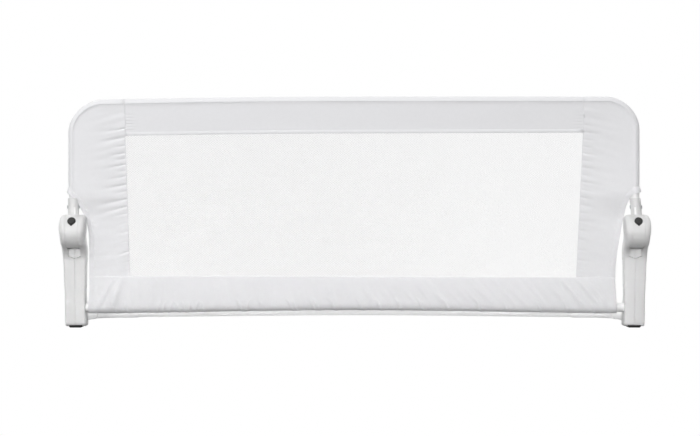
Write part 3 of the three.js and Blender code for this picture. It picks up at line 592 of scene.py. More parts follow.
def hollow_cutter():
    wall = 2.2
    front_low = FOOT_FRONT + wall
    points = [
        (REAR - wall, AXIS_Z - 27),
        (NECK_FRONT + 3 * wall, AXIS_Z - 27),
        (NECK_FRONT + 3 * wall, AXIS_Z - 38),
        (NECK_FRONT + 3 + wall, AXIS_Z - 70),
        (front_low, FOOT_Z + wall),
        (HEEL_REAR - wall, FOOT_Z + wall),
        (HEEL_REAR - wall, HEEL_LOW - wall),
        (REAR - wall, HEEL_TOP - wall),
    ]
    return sideways(points, -FOOT_HALF + wall, FOOT_HALF - wall)


# %% [markdown]
# The leg tube runs back from the casing, leaning down a little to the floor. Its place is worked
# out once, because the casing's bore, its screws and the leg frame all follow it.

# %% Seats for the leg tube and the screws
LEG_START = Vector((0, 26, 14.9))
ELBOW_OUTER = TUBE_R + 2.3
LEG_REACH = 308
LEG_LEAN = math.atan2(LEG_START.z - ELBOW_OUTER, LEG_REACH - LEG_START.y)
LEG_FRAME = Matrix.Translation(LEG_START) @ Matrix.Rotation(-LEG_LEAN, 4, "X")


def along_leg(bm):
    """Turns a rod along X into one that runs back along the leg tube."""
    return moved(bm, LEG_FRAME @ turn(90, "Z"))


CASING_SCREWS = [(24, 118), (26, 72), (45.5, 27.5)]
SCREW_HEAD_R = 3.4
SCREW_SINK = 3
LEG_SCREW_Y = 44
CROSS_SCREW_X = 9
CROSS_SCREW_Y = 45.5


def leg_screw_place():
    return (LEG_SCREW_Y, LEG_START.z - (LEG_SCREW_Y - LEG_START.y) * math.tan(LEG_LEAN))


def screw_seats():
    """Place of each screw head on the inner shell, and how far in it sits."""
    seats = [(y, z, half_width(z) - SCREW_SINK) for y, z in CASING_SCREWS]
    y, z = leg_screw_place()
    return seats + [(y, z, FOOT_HALF - SCREW_SINK)]


def inner_cutters():
    holes = []
    for y, z, seat in screw_seats():
        holes.append(moved(rod(SCREW_HEAD_R + 0.3, -HEAD_HALF - OVER, -seat, steps=32), shift(0, y, z)))
    rear = moved(rod(SCREW_HEAD_R + 0.3, CROSS_SCREW_Y, HEEL_REAR + OVER, steps=32), turn(90, "Z"))
    holes.append(moved(rear, shift(-CROSS_SCREW_X, 0, CROSS_Z)))
    bore = rod(TUBE_R + 0.3, -HEAD_HALF - OVER, 0, steps=64)
    holes.append(moved(bore, shift(0, CROSS_Y, CROSS_Z)))
    return holes


PAD_LOW, PAD_HIGH = box_of("right_foot_pad")
PAD_HALF = 11.2
PAD_FRONT = FOOT_FRONT + 0.8


def pad_block(gap):
    """The foot's block: its front follows the casing's, and its lower edges are cut back."""
    half, height = PAD_HALF + gap, PAD_HIGH.z + gap
    outline = [(-half + 2, 0), (half - 2, 0), (half, 2), (half, height), (-half, height), (-half, 2)]
    return upright(outline, PAD_FRONT - gap * OVER, PAD_HIGH.y - AXIS.y + gap)


def leg_bore():
    return along_leg(rod(TUBE_R + 0.3, -1, 60, steps=64))


# %% [markdown]
# A casing is two shells screwed together, like a clam. The inner one is the mirror of the outer
# one with the screw heads' seats cut in it, so that one drawing serves for all four.

# %% Casing shells


def casing_shell(inner):
    body = mirrored(casing_half()) if inner else casing_half()
    cutters = [hollow_cutter(), well_cutter(), leg_bore(), pad_block(0.25)]
    shell = combined(body, cutters + (inner_cutters() if inner else []))
    return shell


def for_side(side, bm):
    """A part drawn for the right hinge, on its own axis, brought to one side of the guard."""
    bm.transform(shift(SIDE_X))
    return bm if side == "right" else mirrored(bm)


SIDES = ("left", "right")
for side in SIDES:
    for inner, word in ((False, "outer"), (True, "inner")):
        shell = for_side(side, casing_shell(inner))
        nodes = [f"{side}_casing_{word}_shell"]
        finished(f"{side}_{word}_casing_moulding", shell, WHITE, "base", nodes, 32)
print("casings made, head", 2 * HEAD_HALF, "wide, foot", 2 * FOOT_HALF, "wide, top at", AXIS_Z + HEAD_R)

# %% [markdown]
# The foot is a rubber block pressed under the casing. Its sole has grooves, which keep it from
# sliding. A plain block would look moulded in one with the casing, so the grooves are cut.

# %% Feet


def foot_pad():
    half, front, rear = PAD_HALF, PAD_FRONT, PAD_HIGH.y - AXIS.y
    grooves = []
    for i in range(5):
        y = front + (rear - front) * (i + 1) / 6
        slot = [(-half - 1, -1), (half + 1, -1), (half + 1, 0.7), (-half - 1, 0.7)]
        grooves.append(upright(slot, y - 0.9, y + 0.9))
    return combined(pad_block(0.0), grooves)


for side in SIDES:
    sole = for_side(side, foot_pad())
    finished(f"{side}_rubber_foot", sole, RUBBER, "base", [f"{side}_foot_pad"])
print("feet made,", 2 * PAD_HALF, "wide")

# %% [markdown]
# On this guard the left end of the top tube hangs a few millimetres lower than the right
# end, and the right side leans in a little, as tube joints with some play do. The same small
# moves are given to the rail's tubes and to the cloth on them, so that they stay together.

# %% The rail's droop
DROOP = 6.4
SAG = 1.2
LEAN_IN = 3.5


def settle(bm):
    """Gives a piece of the rail or its cover the droop, the sag and the lean."""
    for vert in bm.verts:
        x, _, z = vert.co
        vert.co.x -= LEAN_IN * smooth((x - 400) / 70) * smooth((z - 196) / 44)
        vert.co.z -= SAG * smooth((z - 345) / 35)
        if x < 0:
            height = smooth((z - 236) / (RAIL_Z - 236))
            vert.co.z -= DROOP * (x / SIDE_X) ** 2 * height
    return bm


print("left end", DROOP, "lower, right side", LEAN_IN, "further in")

# %% [markdown]
# The rotor is the part between the cheeks. Its disc carries the round socket for the rail
# tube, and the release button looks out of it at an angle, where a thumb finds it.

# %% Rotor, button and rivet
ROTOR_R = 28.7
SOCKET_R = 9.5
SOCKET_TOP = 57.4
BUTTON_R = 7
BUTTON_TIP = 9.3
BUTTON_PROUD = 2.5
BUTTON_CAP = 6.5
BUTTON_LEAN = 52
BUTTON_LEDGE = 16.5
RIVET_Z = 42


def button_outline(gap=0.0, sides=40):
    radius, tip = BUTTON_R + gap, BUTTON_TIP + gap
    spread = math.degrees(math.acos(radius / tip))
    return arc((0, 0), radius, -90 + spread, 270 - spread, sides) + [(0, -tip)]


def on_axis(bm):
    return moved(bm, shift(z=AXIS_Z))


def leaning(bm):
    return moved(bm, shift(z=AXIS_Z) @ turn(BUTTON_LEAN, "X"))


def socket_slot():
    """The upright slot in the front of the socket, on the cloth's side."""
    outline = [(-4.9, -20), (-1.5, -20), (-1.5, -6.9), (-4.9, -6.9)]
    return on_axis(prism(outline, ROTOR_R + 0.5, ROTOR_R + 13))


def socket_slit():
    """The short slit beside the rivet."""
    outline = [(5.0, -20), (9.9, -20), (9.9, -2), (5.0, -2)]
    return on_axis(prism(outline, RIVET_Z - 0.7, RIVET_Z + 0.7))


def rotor():
    disc = on_axis(rod(ROTOR_R, -ROTOR_HALF, ROTOR_HALF, edge=0.5, steps=96))
    socket = on_axis(moved(rod(SOCKET_R, 14, SOCKET_TOP, edge=0.7, steps=64), turn(-90, "Y")))
    whole = combined(disc, [socket], "UNION")
    bore = on_axis(moved(rod(TUBE_R + 0.3, 24, SOCKET_TOP + OVER, steps=64), turn(-90, "Y")))
    well = leaning(prism(button_outline(0.35), BUTTON_LEDGE, ROTOR_R + OVER))
    pin = on_axis(rod(4.06, -ROTOR_HALF - OVER, ROTOR_HALF + OVER))
    return combined(whole, [bore, well, pin, socket_slot(), socket_slit()])


# %% [markdown]
# The release button is a black cap with a pointed lower edge, on a stem that carries the lock
# pin. The rivet holds the rail tube in the socket, and its two heads show at the socket's sides.
# The cap is a prism with a bevelled rim, and the rivet is turned, because it is round.

# %% Button, rivet and lock pin


def button():
    top = ROTOR_R + BUTTON_PROUD
    cap = prism(button_outline(), top - BUTTON_CAP, top)
    cap = bevelled(cap, rim_edges(cap, top), 1.1, 4)
    for vert in cap.verts:
        if vert.co.z > top - 0.001:
            vert.co.z += 0.5
    stem = moved(rod(3, 9.3, top - BUTTON_CAP / 2, steps=24), turn(-90, "Y"))
    hole = moved(rod(2.15, -OVER, OVER, steps=24), shift(z=12.5))
    return leaning(combined(combined(cap, [stem], "UNION"), [hole]))


def rivet():
    grip = SOCKET_R + 0.15
    crown = [(0.0, 3.5), (0.35, 3.4), (0.75, 2.7), (1.0, 1.6), (1.1, 0.0)]
    left = [(-grip - along, radius) for along, radius in reversed(crown)]
    right = [(grip + along, radius) for along, radius in crown]
    profile = left + [(-grip, 2), (grip, 2)] + right
    return moved(turned(profile, 32), shift(z=AXIS_Z + RIVET_Z))


def lock_bar():
    return leaning(moved(rod(2, -15, 15, edge=0.4, steps=24), shift(z=12.5)))


# %% [markdown]
# A small spring under the cap pushes the button out again. It is a round wire wound on a circle.
# Its lower end stays with the rail and its upper end goes with the button. Here it is drawn at
# rest, on no body, with its place baked into its mesh.

# %% Return spring
SPRING_TOP = ROTOR_R + BUTTON_PROUD - BUTTON_CAP


def spring():
    """The button's spring: a wire wound from the ledge to the cap."""
    turns, steps, radius, wire = 3.5, 24, 4.7, 0.4
    low, high = BUTTON_LEDGE + 0.8, SPRING_TOP - 0.8
    count = int(turns * steps)
    path = []
    for i in range(count + 1):
        angle = 2 * math.pi * turns * i / count
        spot = Vector((radius * math.cos(angle), radius * math.sin(angle), low + (high - low) * i / count))
        path.append((spot, Vector((-math.sin(angle), math.cos(angle), 0)), Vector((0, 0, 1))))
    rows = [[spot + wire * (math.cos(a) * up + math.sin(a) * ahead.cross(up)) for a in ring_angles(8)]
            for spot, ahead, up in path]
    coil = skin(rows, across=True)
    bmesh.ops.holes_fill(coil, edges=[e for e in coil.edges if e.is_boundary])
    bmesh.ops.recalc_face_normals(coil, faces=coil.faces)
    return leaning(coil)


def ring_angles(sides):
    return [2 * math.pi * i / sides for i in range(sides)]


# %% Hinge parts in place
for side in SIDES:
    finished(f"{side}_rotor_moulding", settle(for_side(side, rotor())), WHITE, "rail",
             [f"{side}_hinge_rotor"], 32)
    finished(f"{side}_thumb_button", for_side(side, button()), BLACK, f"{side}_release",
             [f"{side}_release_button"], 32)
    finished(f"{side}_socket_rivet", settle(for_side(side, rivet())), ZINC, "rail",
             [f"{side}_tube_rivet"])
    finished(f"{side}_lock_bar", for_side(side, lock_bar()), ZINC, f"{side}_release",
             [f"{side}_lock_pin"])
    coil = finished(f"{side}_return_spring", for_side(side, spring()), ZINC, None,
                    [f"{side}_button_spring"])
    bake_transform(coil)
    axle = on_axis(rod(4, -CHEEK + 0.3, CHEEK - 0.3, edge=0.5))
    finished(f"{side}_hinge_axle", for_side(side, axle), ZINC, "base", [f"{side}_hinge_pin"])
print("hinges made, rotor", 2 * ROTOR_R, "across, button", 2 * BUTTON_R, "across")

# %% [markdown]
# The screws are pan heads with a cross recess, and hold the two shells together. They show on
# the inner side of each casing. One turned profile makes the head and shank, because a screw
# is round, and two bars cut the cross. It is modelled once and set in every seat.

# %% Screws
SCREW_HEAD_HIGH = 2.2


def screw(length):
    """A pan head screw along X, its head at x = 0 and its tip at the given length."""
    radius, height = SCREW_HEAD_R, SCREW_HEAD_HIGH
    profile = [(0, 0), (0, 1.6), (0.25, 2.6), (0.8, radius), (height, radius), (height, 1.25)]
    profile += [(length - 1.5, 1.25), (length, 0)]
    body = turned(profile, 32)
    arms = []
    for degrees in (0, 90):
        arm = prism([(-1.9, -0.45), (1.9, -0.45), (1.9, 0.45), (-1.9, 0.45)], -1, 1.3)
        arms.append(moved(arm, turn(degrees + 45, "X") @ turn(90, "Y")))
    return combined(body, arms)


for side in SIDES:
    names = [f"{side}_casing_screw_{i + 1}" for i in range(len(CASING_SCREWS))] + [f"{side}_leg_screw"]
    for name, (y, z, seat) in zip(names, screw_seats()):
        length = seat + 10 + SCREW_HEAD_HIGH if "casing" in name else 12.8
        placed = for_side(side, moved(screw(length), shift(-seat - SCREW_HEAD_HIGH, y, z)))
        finished(name.replace("screw", "pan_screw"), placed, ZINC, "base", [name])
    low, high = box_of(f"{side}_lower_tube_screw")
    reach = high.y - low.y
    placed = moved(screw(reach), shift(-CROSS_SCREW_X, high.y - AXIS.y, CROSS_Z) @ turn(-90, "Z"))
    finished(f"{side}_lower_tube_pan_screw", for_side(side, placed), ZINC, "base",
             [f"{side}_lower_tube_screw"])
print("screws in each casing", len(screw_seats()) + 1)

# %% [markdown]
# All the tubes are the same 16 mm steel tube. A path gives each point its direction and the
# way that is outward, so that the same paths can carry the cloth sleeve later.

# %% Tube paths
TUBE_SIDES = 40


def tube(path, outer, inner, sides=TUBE_SIDES):
    """A tube with a wall, along a path of (point, ahead, outward) triples."""
    def ring(station, radius):
        spot, ahead, out = station
        aside = ahead.cross(out)
        return [spot + radius * (math.cos(a) * out + math.sin(a) * aside) for a in ring_angles(sides)]

    outside = [ring(station, outer) for station in path]
    inside = [ring(station, inner) for station in reversed(path)]
    return skin(outside + inside, across=True, along=True)


def straight_run(start, end, out, steps=1):
    start, end = Vector(start), Vector(end)
    ahead = (end - start).normalized()
    return [(start.lerp(end, i / steps), ahead, Vector(out)) for i in range(steps + 1)]


def corner_run(start_x, end_z, steps=20, side_steps=8):
    """The rail's right corner, from the top straight to the side."""
    top = straight_run((start_x, 0, RAIL_Z), (BEND_X, 0, RAIL_Z), (0, 0, 1), 3)
    bend = []
    for i in range(1, steps):
        angle = math.pi / 2 * (1 - i / steps)
        out = Vector((math.cos(angle), 0, math.sin(angle)))
        ahead = Vector((math.sin(angle), 0, -math.cos(angle)))
        bend.append((Vector((BEND_X, 0, RAIL_Z - BEND_R)) + BEND_R * out, ahead, out))
    side_run = straight_run((SIDE_X, 0, RAIL_Z - BEND_R), (SIDE_X, 0, end_z), (1, 0, 0), side_steps)
    return top + bend + side_run


def bowed_run(half, y, z, rise, steps=24):
    """A long tube whose middle stands a little higher than its ends."""
    path = []
    for i in range(steps + 1):
        share = 2 * i / steps - 1
        spot = Vector((share * half, y, z + rise * (1 - share * share) ** 2))
        slope = -4 * rise * share * (1 - share * share) / half
        ahead = Vector((1, 0, slope)).normalized()
        path.append((spot, ahead, Vector((-ahead.z, 0, ahead.x))))
    return path


# %% [markdown]
# The rail is three tubes. Each corner tube has a reduced end that slides into the top tube. It
# could be bent from one long tube, but then the guard couldn't be packed in a short box.

# %% Rail tubes
BORE_R = TUBE_R - TUBE_WALL
TOP_HALF = box_of("top_tube")[1].x
SPIGOT = 35


def corner_tube():
    body = tube(corner_run(TOP_HALF + 0.3, AXIS_Z + 24.3), TUBE_R, BORE_R)
    spigot = straight_run((TOP_HALF - SPIGOT, 0, RAIL_Z), (TOP_HALF + 4, 0, RAIL_Z), (0, 0, 1), 2)
    joined = combined(body, [tube(spigot, BORE_R - 0.1, BORE_R - 0.3 - TUBE_WALL)], "UNION")
    return combined(joined, [moved(socket_slot(), shift(SIDE_X))])


for side in SIDES:
    bm = corner_tube()
    if side == "left":
        mirrored(bm)
    finished(f"{side}_corner_pipe", settle(bm), COAT, "rail", [f"{side}_corner_tube"])
top_path = straight_run((-TOP_HALF, 0, RAIL_Z), (TOP_HALF, 0, RAIL_Z), (0, 0, 1), 24)
finished("top_pipe", settle(tube(top_path, TUBE_R, BORE_R)), COAT, "rail", ["top_tube"])
print("rail tubes made, outer radius", TUBE_R, "corner bend", BEND_R)

# %% [markdown]
# The leg frame lies almost flat: two tubes run back from the casings, a plastic elbow turns
# each corner, and a crossbar closes it. It is drawn in its own leaning frame.

# %% Leg frame
ELBOW_R = 50
ELBOW_SOCKET = 25
ELBOW_SKIN = TUBE_R + 1.2
LEG_BAR = (LEG_REACH - LEG_START.y) / math.cos(LEG_LEAN)


def leg_tube():
    path = straight_run((0, 0, 0), (0, LEG_BAR - ELBOW_R, 0), (0, 0, 1), 2)
    return moved(tube(path, TUBE_R, BORE_R), LEG_FRAME)


def elbow():
    start = straight_run((0, LEG_BAR - ELBOW_R - ELBOW_SOCKET, 0), (0, LEG_BAR - ELBOW_R, 0), (1, 0, 0), 4)
    bend = []
    centre = Vector((-ELBOW_R, LEG_BAR - ELBOW_R, 0))
    for i in range(1, 16):
        angle = math.pi / 2 * i / 16
        out = Vector((math.cos(angle), math.sin(angle), 0))
        bend.append((centre + ELBOW_R * out, Vector((-math.sin(angle), math.cos(angle), 0)), out))
    end = straight_run((-ELBOW_R, LEG_BAR, 0), (-ELBOW_R - ELBOW_SOCKET, LEG_BAR, 0), (0, 1, 0), 4)
    path = start + bend + end
    return moved(tube(path, ELBOW_SKIN, TUBE_R + 0.3), LEG_FRAME)


for side in SIDES:
    pipe = for_side(side, leg_tube())
    finished(f"{side}_leg_pipe", pipe, COAT, "base", [f"{side}_leg_tube"])
    # The elbows carry the lighter copy of the moulded white, which is painted light for the cover's shade.
    finished(f"{side}_elbow_moulding", for_side(side, elbow()), ELBOW_WHITE_PAINTED_LIGHT, "base",
             [f"{side}_rear_elbow"])
rear_path = bowed_run(SIDE_X - ELBOW_R, LEG_BAR, 0, 3.4)
rear_bar = moved(tube(rear_path, TUBE_R, BORE_R), LEG_FRAME)
finished("rear_pipe", rear_bar, COAT, "base", ["rear_crossbar"])
CROSS_HALF = box_of("lower_cross_tube")[1].x
TUBE_RISE = CROSS_RISE + 1.2
cross_path = bowed_run(CROSS_HALF, CROSS_Y, CROSS_Z, TUBE_RISE)
finished("lower_pipe", tube(cross_path, TUBE_R, BORE_R), COAT, "base", ["lower_cross_tube"])
print("leg frame made, reaching", LEG_REACH, "back")

# %% [markdown]
# The cover is cloth stretched between the rail and the lower tube, so it leans back a little
# on its way down. Each corner of the window was read from the photograph and set as a size.

# %% Cover sizes
SLEEVE_R = 8.5
SEAM_ANGLE = math.radians(125)
SLEEVE_START = math.radians(92)
SLEEVE_WRAP = math.radians(320)
SEAM_IN = -SLEEVE_R * math.cos(SEAM_ANGLE)
WINDOW_TOP = {"left": (397.0, 336.4), "right": (394.0, 338.8)}
WINDOW_LOW = {"left": (391.0, 90.0), "right": (384.6, 87.8)}
SEAM_X = {"left": 396.0, "right": 394.4}
UNDERLAP = 2.0
LAP = 0.8


def cloth_depth(z):
    """The cloth runs straight from the front of the rail's sleeve to the front of the lower tube."""
    top_y, top_z = -SLEEVE_R * math.sin(SEAM_ANGLE), RAIL_Z + SLEEVE_R * math.cos(SEAM_ANGLE)
    low_y = CROSS_Y - SLEEVE_R
    return top_y + (low_y - top_y) * (top_z - z) / (top_z - CROSS_Z)


def side_sign(side):
    return 1 if side == "right" else -1


def window_side(side, z):
    """Distance of the window's upright edge from the middle, at a height."""
    (top_x, top_z), (low_x, low_z) = WINDOW_TOP[side], WINDOW_LOW[side]
    share = min(1.0, max(0.0, (top_z - z) / (top_z - low_z)))
    return top_x + (low_x - top_x) * share


def window_line(ends, x):
    """Height of the window's top or bottom edge at a place across."""
    left, right = ends["left"], ends["right"]
    return left[1] + (right[1] - left[1]) * (x + left[0]) / (left[0] + right[0])


# %% [markdown]
# The sleeve holds the cover on the rail. It could be a closed pipe of cloth, but then the panel
# would cross it with a hard step. So it is a strip that goes most of the way round the tube, and
# the panel laps over the gap at the front. It is swept along the tube's own path, its ends are cut
# on a slant beside the sockets, and a hem stands out there.

# %% Sleeve


def sleeve_section(steps=56):
    """Points (outward, forward) from the tube's front, over it, round behind and back to the panel."""
    points = []
    for i in range(steps + 1):
        share = i / steps
        angle = SLEEVE_START - SLEEVE_WRAP * share
        radius = SLEEVE_R - 0.3 * smooth((share - 0.9) / 0.1)
        points.append((radius * math.cos(angle), radius * math.sin(angle)))
    return points


def sleeve(path, section, end_at=None, flare=0.0):
    """The section swept along a path. end_at gives the cut end's height for each outward place."""
    rows = []
    last = len(path) - 1
    first_side = next((i for i, s in enumerate(path) if s[1].z < -0.999), last)
    for i, (spot, _, out) in enumerate(path):
        row = []
        for outward, forward in section:
            point = spot + out * outward + Vector((0, -forward, 0))
            if end_at and i > first_side:
                t = (i - first_side) / (last - first_side)
                start = path[first_side][0].z
                point.z = start + (end_at(outward) - start) * t
                hem = 0.06 * smooth((t - 0.905) / 0.015)
                wide = smooth((outward + 2) / 9)
                stitches = 0.04 * math.exp(-(((t - 0.895) / 0.012) ** 2))
                grow = 1 + hem + flare * wide * smooth((t - 0.9) / 0.1) - stitches
                point.x = spot.x + out.x * outward * grow
                point.y = -forward * grow
            row.append(point)
        rows.append(row)
    return skin(rows)


SLEEVE_END = {
    "left": [(-9.3, 206), (-7, 214), (0, 225), (9.3, 236)],
    "right": [(-9.3, 226), (-7, 229), (0, 232), (9.3, 237)],
}


def side_sleeve(side):
    path = corner_run(SEAM_X[side], 225, 24, 72)
    flare = 0.26 if side == "right" else 0.2
    return sleeve(path, sleeve_section(), lambda outward: between(SLEEVE_END[side], outward), flare)


print("sleeve strip", round(SLEEVE_R * SLEEVE_WRAP, 1), "wide round the tube")

# %% [markdown]
# The side panels are gathered where they meet the window. Each gather is a crease that starts
# at the seam, slants down as it runs outwards and dies away, as the fullness is taken up. A
# cloth simulation would place them by chance, so each is placed: height, reach and strength.

# %% Gathers
GATHERS = {
    "left": [
        (349, 72, 1.5), (333, 64, 1.7), (318, 26, 1.0), (305, 40, 1.2), (295, 24, 1.0), (285, 50, 1.4),
        (274, 22, 0.9), (264, 44, 1.2), (249, 70, 1.6), (238, 34, 1.1), (224, 66, 1.4), (211, 60, 1.3),
        (199, 28, 0.9), (184, 26, 0.8), (168, 34, 0.8), (151, 24, 0.7), (133, 30, 0.8), (116, 26, 0.8),
        (101, 22, 0.8),
    ],
    "right": [
        (352, 30, 0.7), (340, 46, 1.1), (327, 30, 1.0), (315, 24, 0.9), (303, 38, 1.1), (291, 26, 0.9),
        (279, 34, 1.0), (266, 24, 0.9), (254, 46, 1.1), (240, 28, 0.9), (227, 32, 1.0), (214, 30, 1.0),
        (200, 26, 0.9), (186, 34, 0.9), (170, 26, 0.8), (154, 22, 0.8), (136, 26, 0.8), (118, 30, 0.8),
        (103, 24, 0.8),
    ],
}
GATHER_SLANT = {"left": (0.16, 0.12), "right": (0.1, 0.05)}
GATHER_DEPTH = {"left": 1.2, "right": 0.85}


def crease_depth(side, away, z):
    """How far the gathers pull the cloth back, at a distance from the seam."""
    depth = 0.0
    for height, reach, strength in GATHERS[side]:
        if away >= reach:
            continue
        wide = 1.5 + 0.07 * away
        slant, steeper = GATHER_SLANT[side]
        slant += steeper * smooth((300 - height) / 90) + 0.06 * math.sin(height)
        off = (z - height + slant * away) / wide
        if abs(off) < 3:
            fade = min(1.0, 0.5 + away / 9) * (1 - smooth(away / reach))
            depth += GATHER_DEPTH[side] * strength * math.exp(-off * off) * fade
    return depth


def soft_wave(x, z, size, seed):
    """Slow unevenness of cloth that is stretched by hand."""
    return noise.noise(Vector((x / size, z / size, seed)))


print("gathers", {side: len(places) for side, places in GATHERS.items()})

# %% [markdown]
# The free edge of a side panel runs in behind the casing, where the cloth is cut away for the
# hinge. The points follow the edge down each side, and a moving average rounds them.

# %% Side panels
FREE_EDGE = {
    "left": [(340, 500), (232, 500), (226, 483), (212, 477), (201, 471.3), (187, 465.4), (167, 461.8),
             (153, 461), (107, 461.3), (60, 461.8), (40, 464.5), (20, 465)],
    "right": [(340, 500), (240, 500), (236, 485), (224, 476), (216, 471.5), (208, 468.2), (197, 466.3),
              (177, 462.6), (156, 458.8), (135, 455.4), (107, 452.4), (80, 452.3), (62, 453.5), (45, 455),
              (20, 457)],
}


def free_edge(side, z):
    spots = [z + step for step in (-6, -3, 0, 3, 6)]
    return sum(between(FREE_EDGE[side], spot) for spot in spots) / len(spots)


# %% [markdown]
# At the rail the panel comes off the sleeve and settles on to the flat, and at its free edge it is
# folded to a hem with a row of stitches. Both are heights added to the flat cloth, because one
# formula then gives the whole panel with no seam between its parts.

# %% Cloth off the tube, and its hem


def over_tube(inward, flat):
    """How far forward the cloth stands where it comes off the sleeve on to the flat."""
    front = SLEEVE_R + 0.3
    return flat + (front - flat) * math.exp(-((max(0.0, inward + 3.2) / 5) ** 2))


def bend_inward(x, z):
    """Distance of a point of the side panel from the middle of the rail tube, measured inwards."""
    low = RAIL_Z - BEND_R
    if z <= low:
        return SIDE_X - x
    if x <= BEND_X:
        return RAIL_Z - z
    return BEND_R - math.hypot(x - BEND_X, z - low)


def panel_outer(side, z):
    above = z - (RAIL_Z - BEND_R)
    reach = BEND_R + LAP
    round_side = BEND_X + math.sqrt(max(0.0, reach**2 - above**2)) if above > 0 else SIDE_X + LAP
    return min(free_edge(side, z), round_side)


EDGE_LINES = {
    side: np.array([(free_edge(side, z), z) for z in np.arange(20, 241, 0.5)]) for side in SIDES
}


def from_edge(side, x, z):
    """Shortest way from a point of the cover to its free edge."""
    line = EDGE_LINES[side]
    return float(np.hypot(line[:, 0] - x, line[:, 1] - z).min())


def hem_rise(inside, z):
    """How far the folded hem stands out, at a distance from the free edge."""
    off = inside - 7.5
    if off > 12:
        return 0.0
    stitches = 0.45 * math.exp(-((off / 1.1) ** 2))
    drawn = 0.5 * soft_wave(0.3 * inside, z, 3.2, 9.0) * math.exp(-((off / 4.5) ** 2))
    rise = 0.45 + 0.4 * smooth((z - 195) / 15)
    return rise * (1 - smooth((off + 0.8) / 1.6)) - stitches + drawn


def panel_point(side, z, across):
    inner = window_side(side, z) if z < WINDOW_TOP[side][1] else SEAM_X[side]
    outer = panel_outer(side, z)
    x = inner + (outer - inner) * across
    tuck = smooth((238 - z) / 50)
    at_tube = cloth_depth(RAIL_Z - SEAM_IN)
    share = smooth((x - inner) / (SIDE_X - inner))
    lean = cloth_depth(z) + (at_tube - cloth_depth(z)) * share * (1 - tuck)
    away = x - inner
    inward = bend_inward(x, z)
    hold = smooth((inward - 4) / 14) if z > 236 else smooth((outer - x) / 10 + 0.2)
    folds = crease_depth(side, away, z) - 0.7 * soft_wave(x, z, 46, 3.0 + len(side))
    streaks = 1.2 if side == "left" else 0.8
    folds += streaks * soft_wave(0.2 * x, z + 0.22 * away, 11, 1.0 + len(side)) * (1 - smooth(away / 90))
    folds *= hold * smooth(away / 3 + 0.25)
    flat = lean + folds
    on_sleeve = smooth((z - 206) / 18)
    flat += (-over_tube(inward, -flat) - flat) * on_sleeve
    if z < 256 and outer - x < 30:
        flat -= hem_rise(from_edge(side, x, z), z)
    return Vector((x * side_sign(side), flat, z))


HEM = 7.0


def side_panel(side):
    top, low = RAIL_Z + LAP, window_line(WINDOW_LOW, side_sign(side) * 430) - 2
    rows, columns = 320, 72
    points = []
    for j in range(rows + 1):
        z = top + (low - top) * j / rows
        row = [panel_point(side, z, i / columns) for i in range(columns + 1)]
        turned_back = smooth((between(SLEEVE_END[side], -SLEEVE_R) + 6 - z) / 12)
        for out, rear in ((0.3, 0.45), (0.0, 0.9), (-3.0, 1.05), (-HEM, 0.85)):
            row.append(row[columns] + Vector((out * side_sign(side), rear, 0)) * turned_back)
        points.append(row)
    return skin(points)


# %% [markdown]
# The cloth gets its thickness from a Solidify modifier. The panels cross the hinge, so their two
# halves belong to two bodies. Splitting them would open a gap as the rail folds. Here each panel
# is made whole, on no body, and its place is baked into its mesh.

# %% Panels in place


def thick(obj, thickness_mm, offset=0.0):
    step = obj.modifiers.new("cloth thickness", "SOLIDIFY")
    step.thickness = thickness_mm * MM
    step.offset = offset
    return obj


BLEND_LOW, BLEND_HIGH = AXIS_Z - 20, AXIS_Z + 20


def across_hinge(obj):
    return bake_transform(obj)


for side in SIDES:
    panel = settle(side_panel(side))
    cloth = finished(f"{side}_side_panel", panel, CLOTH, None,
                     [f"{side}_upper_panel", f"{side}_lower_panel"], 60)
    thick(cloth, 0.5)
    across_hinge(cloth)
    wrap = side_sleeve(side)
    if side == "left":
        mirrored(wrap)
    cuff = finished(f"{side}_side_sleeve", settle(wrap), CLOTH, "rail", crease=60)
    thick(cuff, 0.5)
    print(side, "panel faces", len(cloth.data.polygons), "sleeve faces", len(cuff.data.polygons))

# %% [markdown]
# The top band is sewn round the top tube and hangs to the window. Beside the two seams it is
# drawn up in a few short puckers.

# %% Top band
PUCKERS = [(374, 0.5), (368, 0.8), (362.5, 0.9), (357, 1.0), (351.5, 0.9), (346, 0.9), (341, 0.6)]


def top_band_point(x, z):
    near_left = x + SEAM_X["left"]
    near_right = SEAM_X["right"] - x
    depth = 0.0
    for height, strength in PUCKERS:
        for near, share in ((near_left, 1.0), (near_right, 0.6)):
            if near < 22:
                depth += share * strength * math.exp(-(((z - height) / 1.5) ** 2)) * (1 - smooth(near / 22))
    wave = 0.5 * soft_wave(x, z * 2, 90, 8.0) * smooth(min(near_left, near_right) / 12)
    near = min(near_left, near_right)
    under = (0.12 if x > 0 else -0.12) * (1 - smooth((near + 2) / 5))
    flat = cloth_depth(z) + depth * smooth(near / 3 + 0.25) - wave + under
    return Vector((x, -over_tube(RAIL_Z - z, -flat), z))


def top_band():
    left, right = -SEAM_X["left"] - UNDERLAP, SEAM_X["right"] + UNDERLAP
    top = RAIL_Z + LAP
    columns, rows = 300, 56
    points = []
    for j in range(rows + 1):
        row = []
        for i in range(columns + 1):
            x = left + (right - left) * i / columns
            low = window_line(WINDOW_TOP, x)
            row.append(top_band_point(x, top + (low - top) * j / rows))
        points.append(row)
    return skin(points)


def top_sleeve():
    left, right = -SEAM_X["left"] - UNDERLAP, SEAM_X["right"] + UNDERLAP
    path = straight_run((left, 0, RAIL_Z), (right, 0, RAIL_Z), (0, 0, 1), 400)
    bm = sleeve(path, sleeve_section())
    for vert in bm.verts:
        tuck = 1 + 0.012 * (smooth((right - vert.co.x) / 5) - smooth((vert.co.x - left) / 5))
        vert.co.y *= tuck
        vert.co.z = RAIL_Z + (vert.co.z - RAIL_Z) * tuck
    return bm


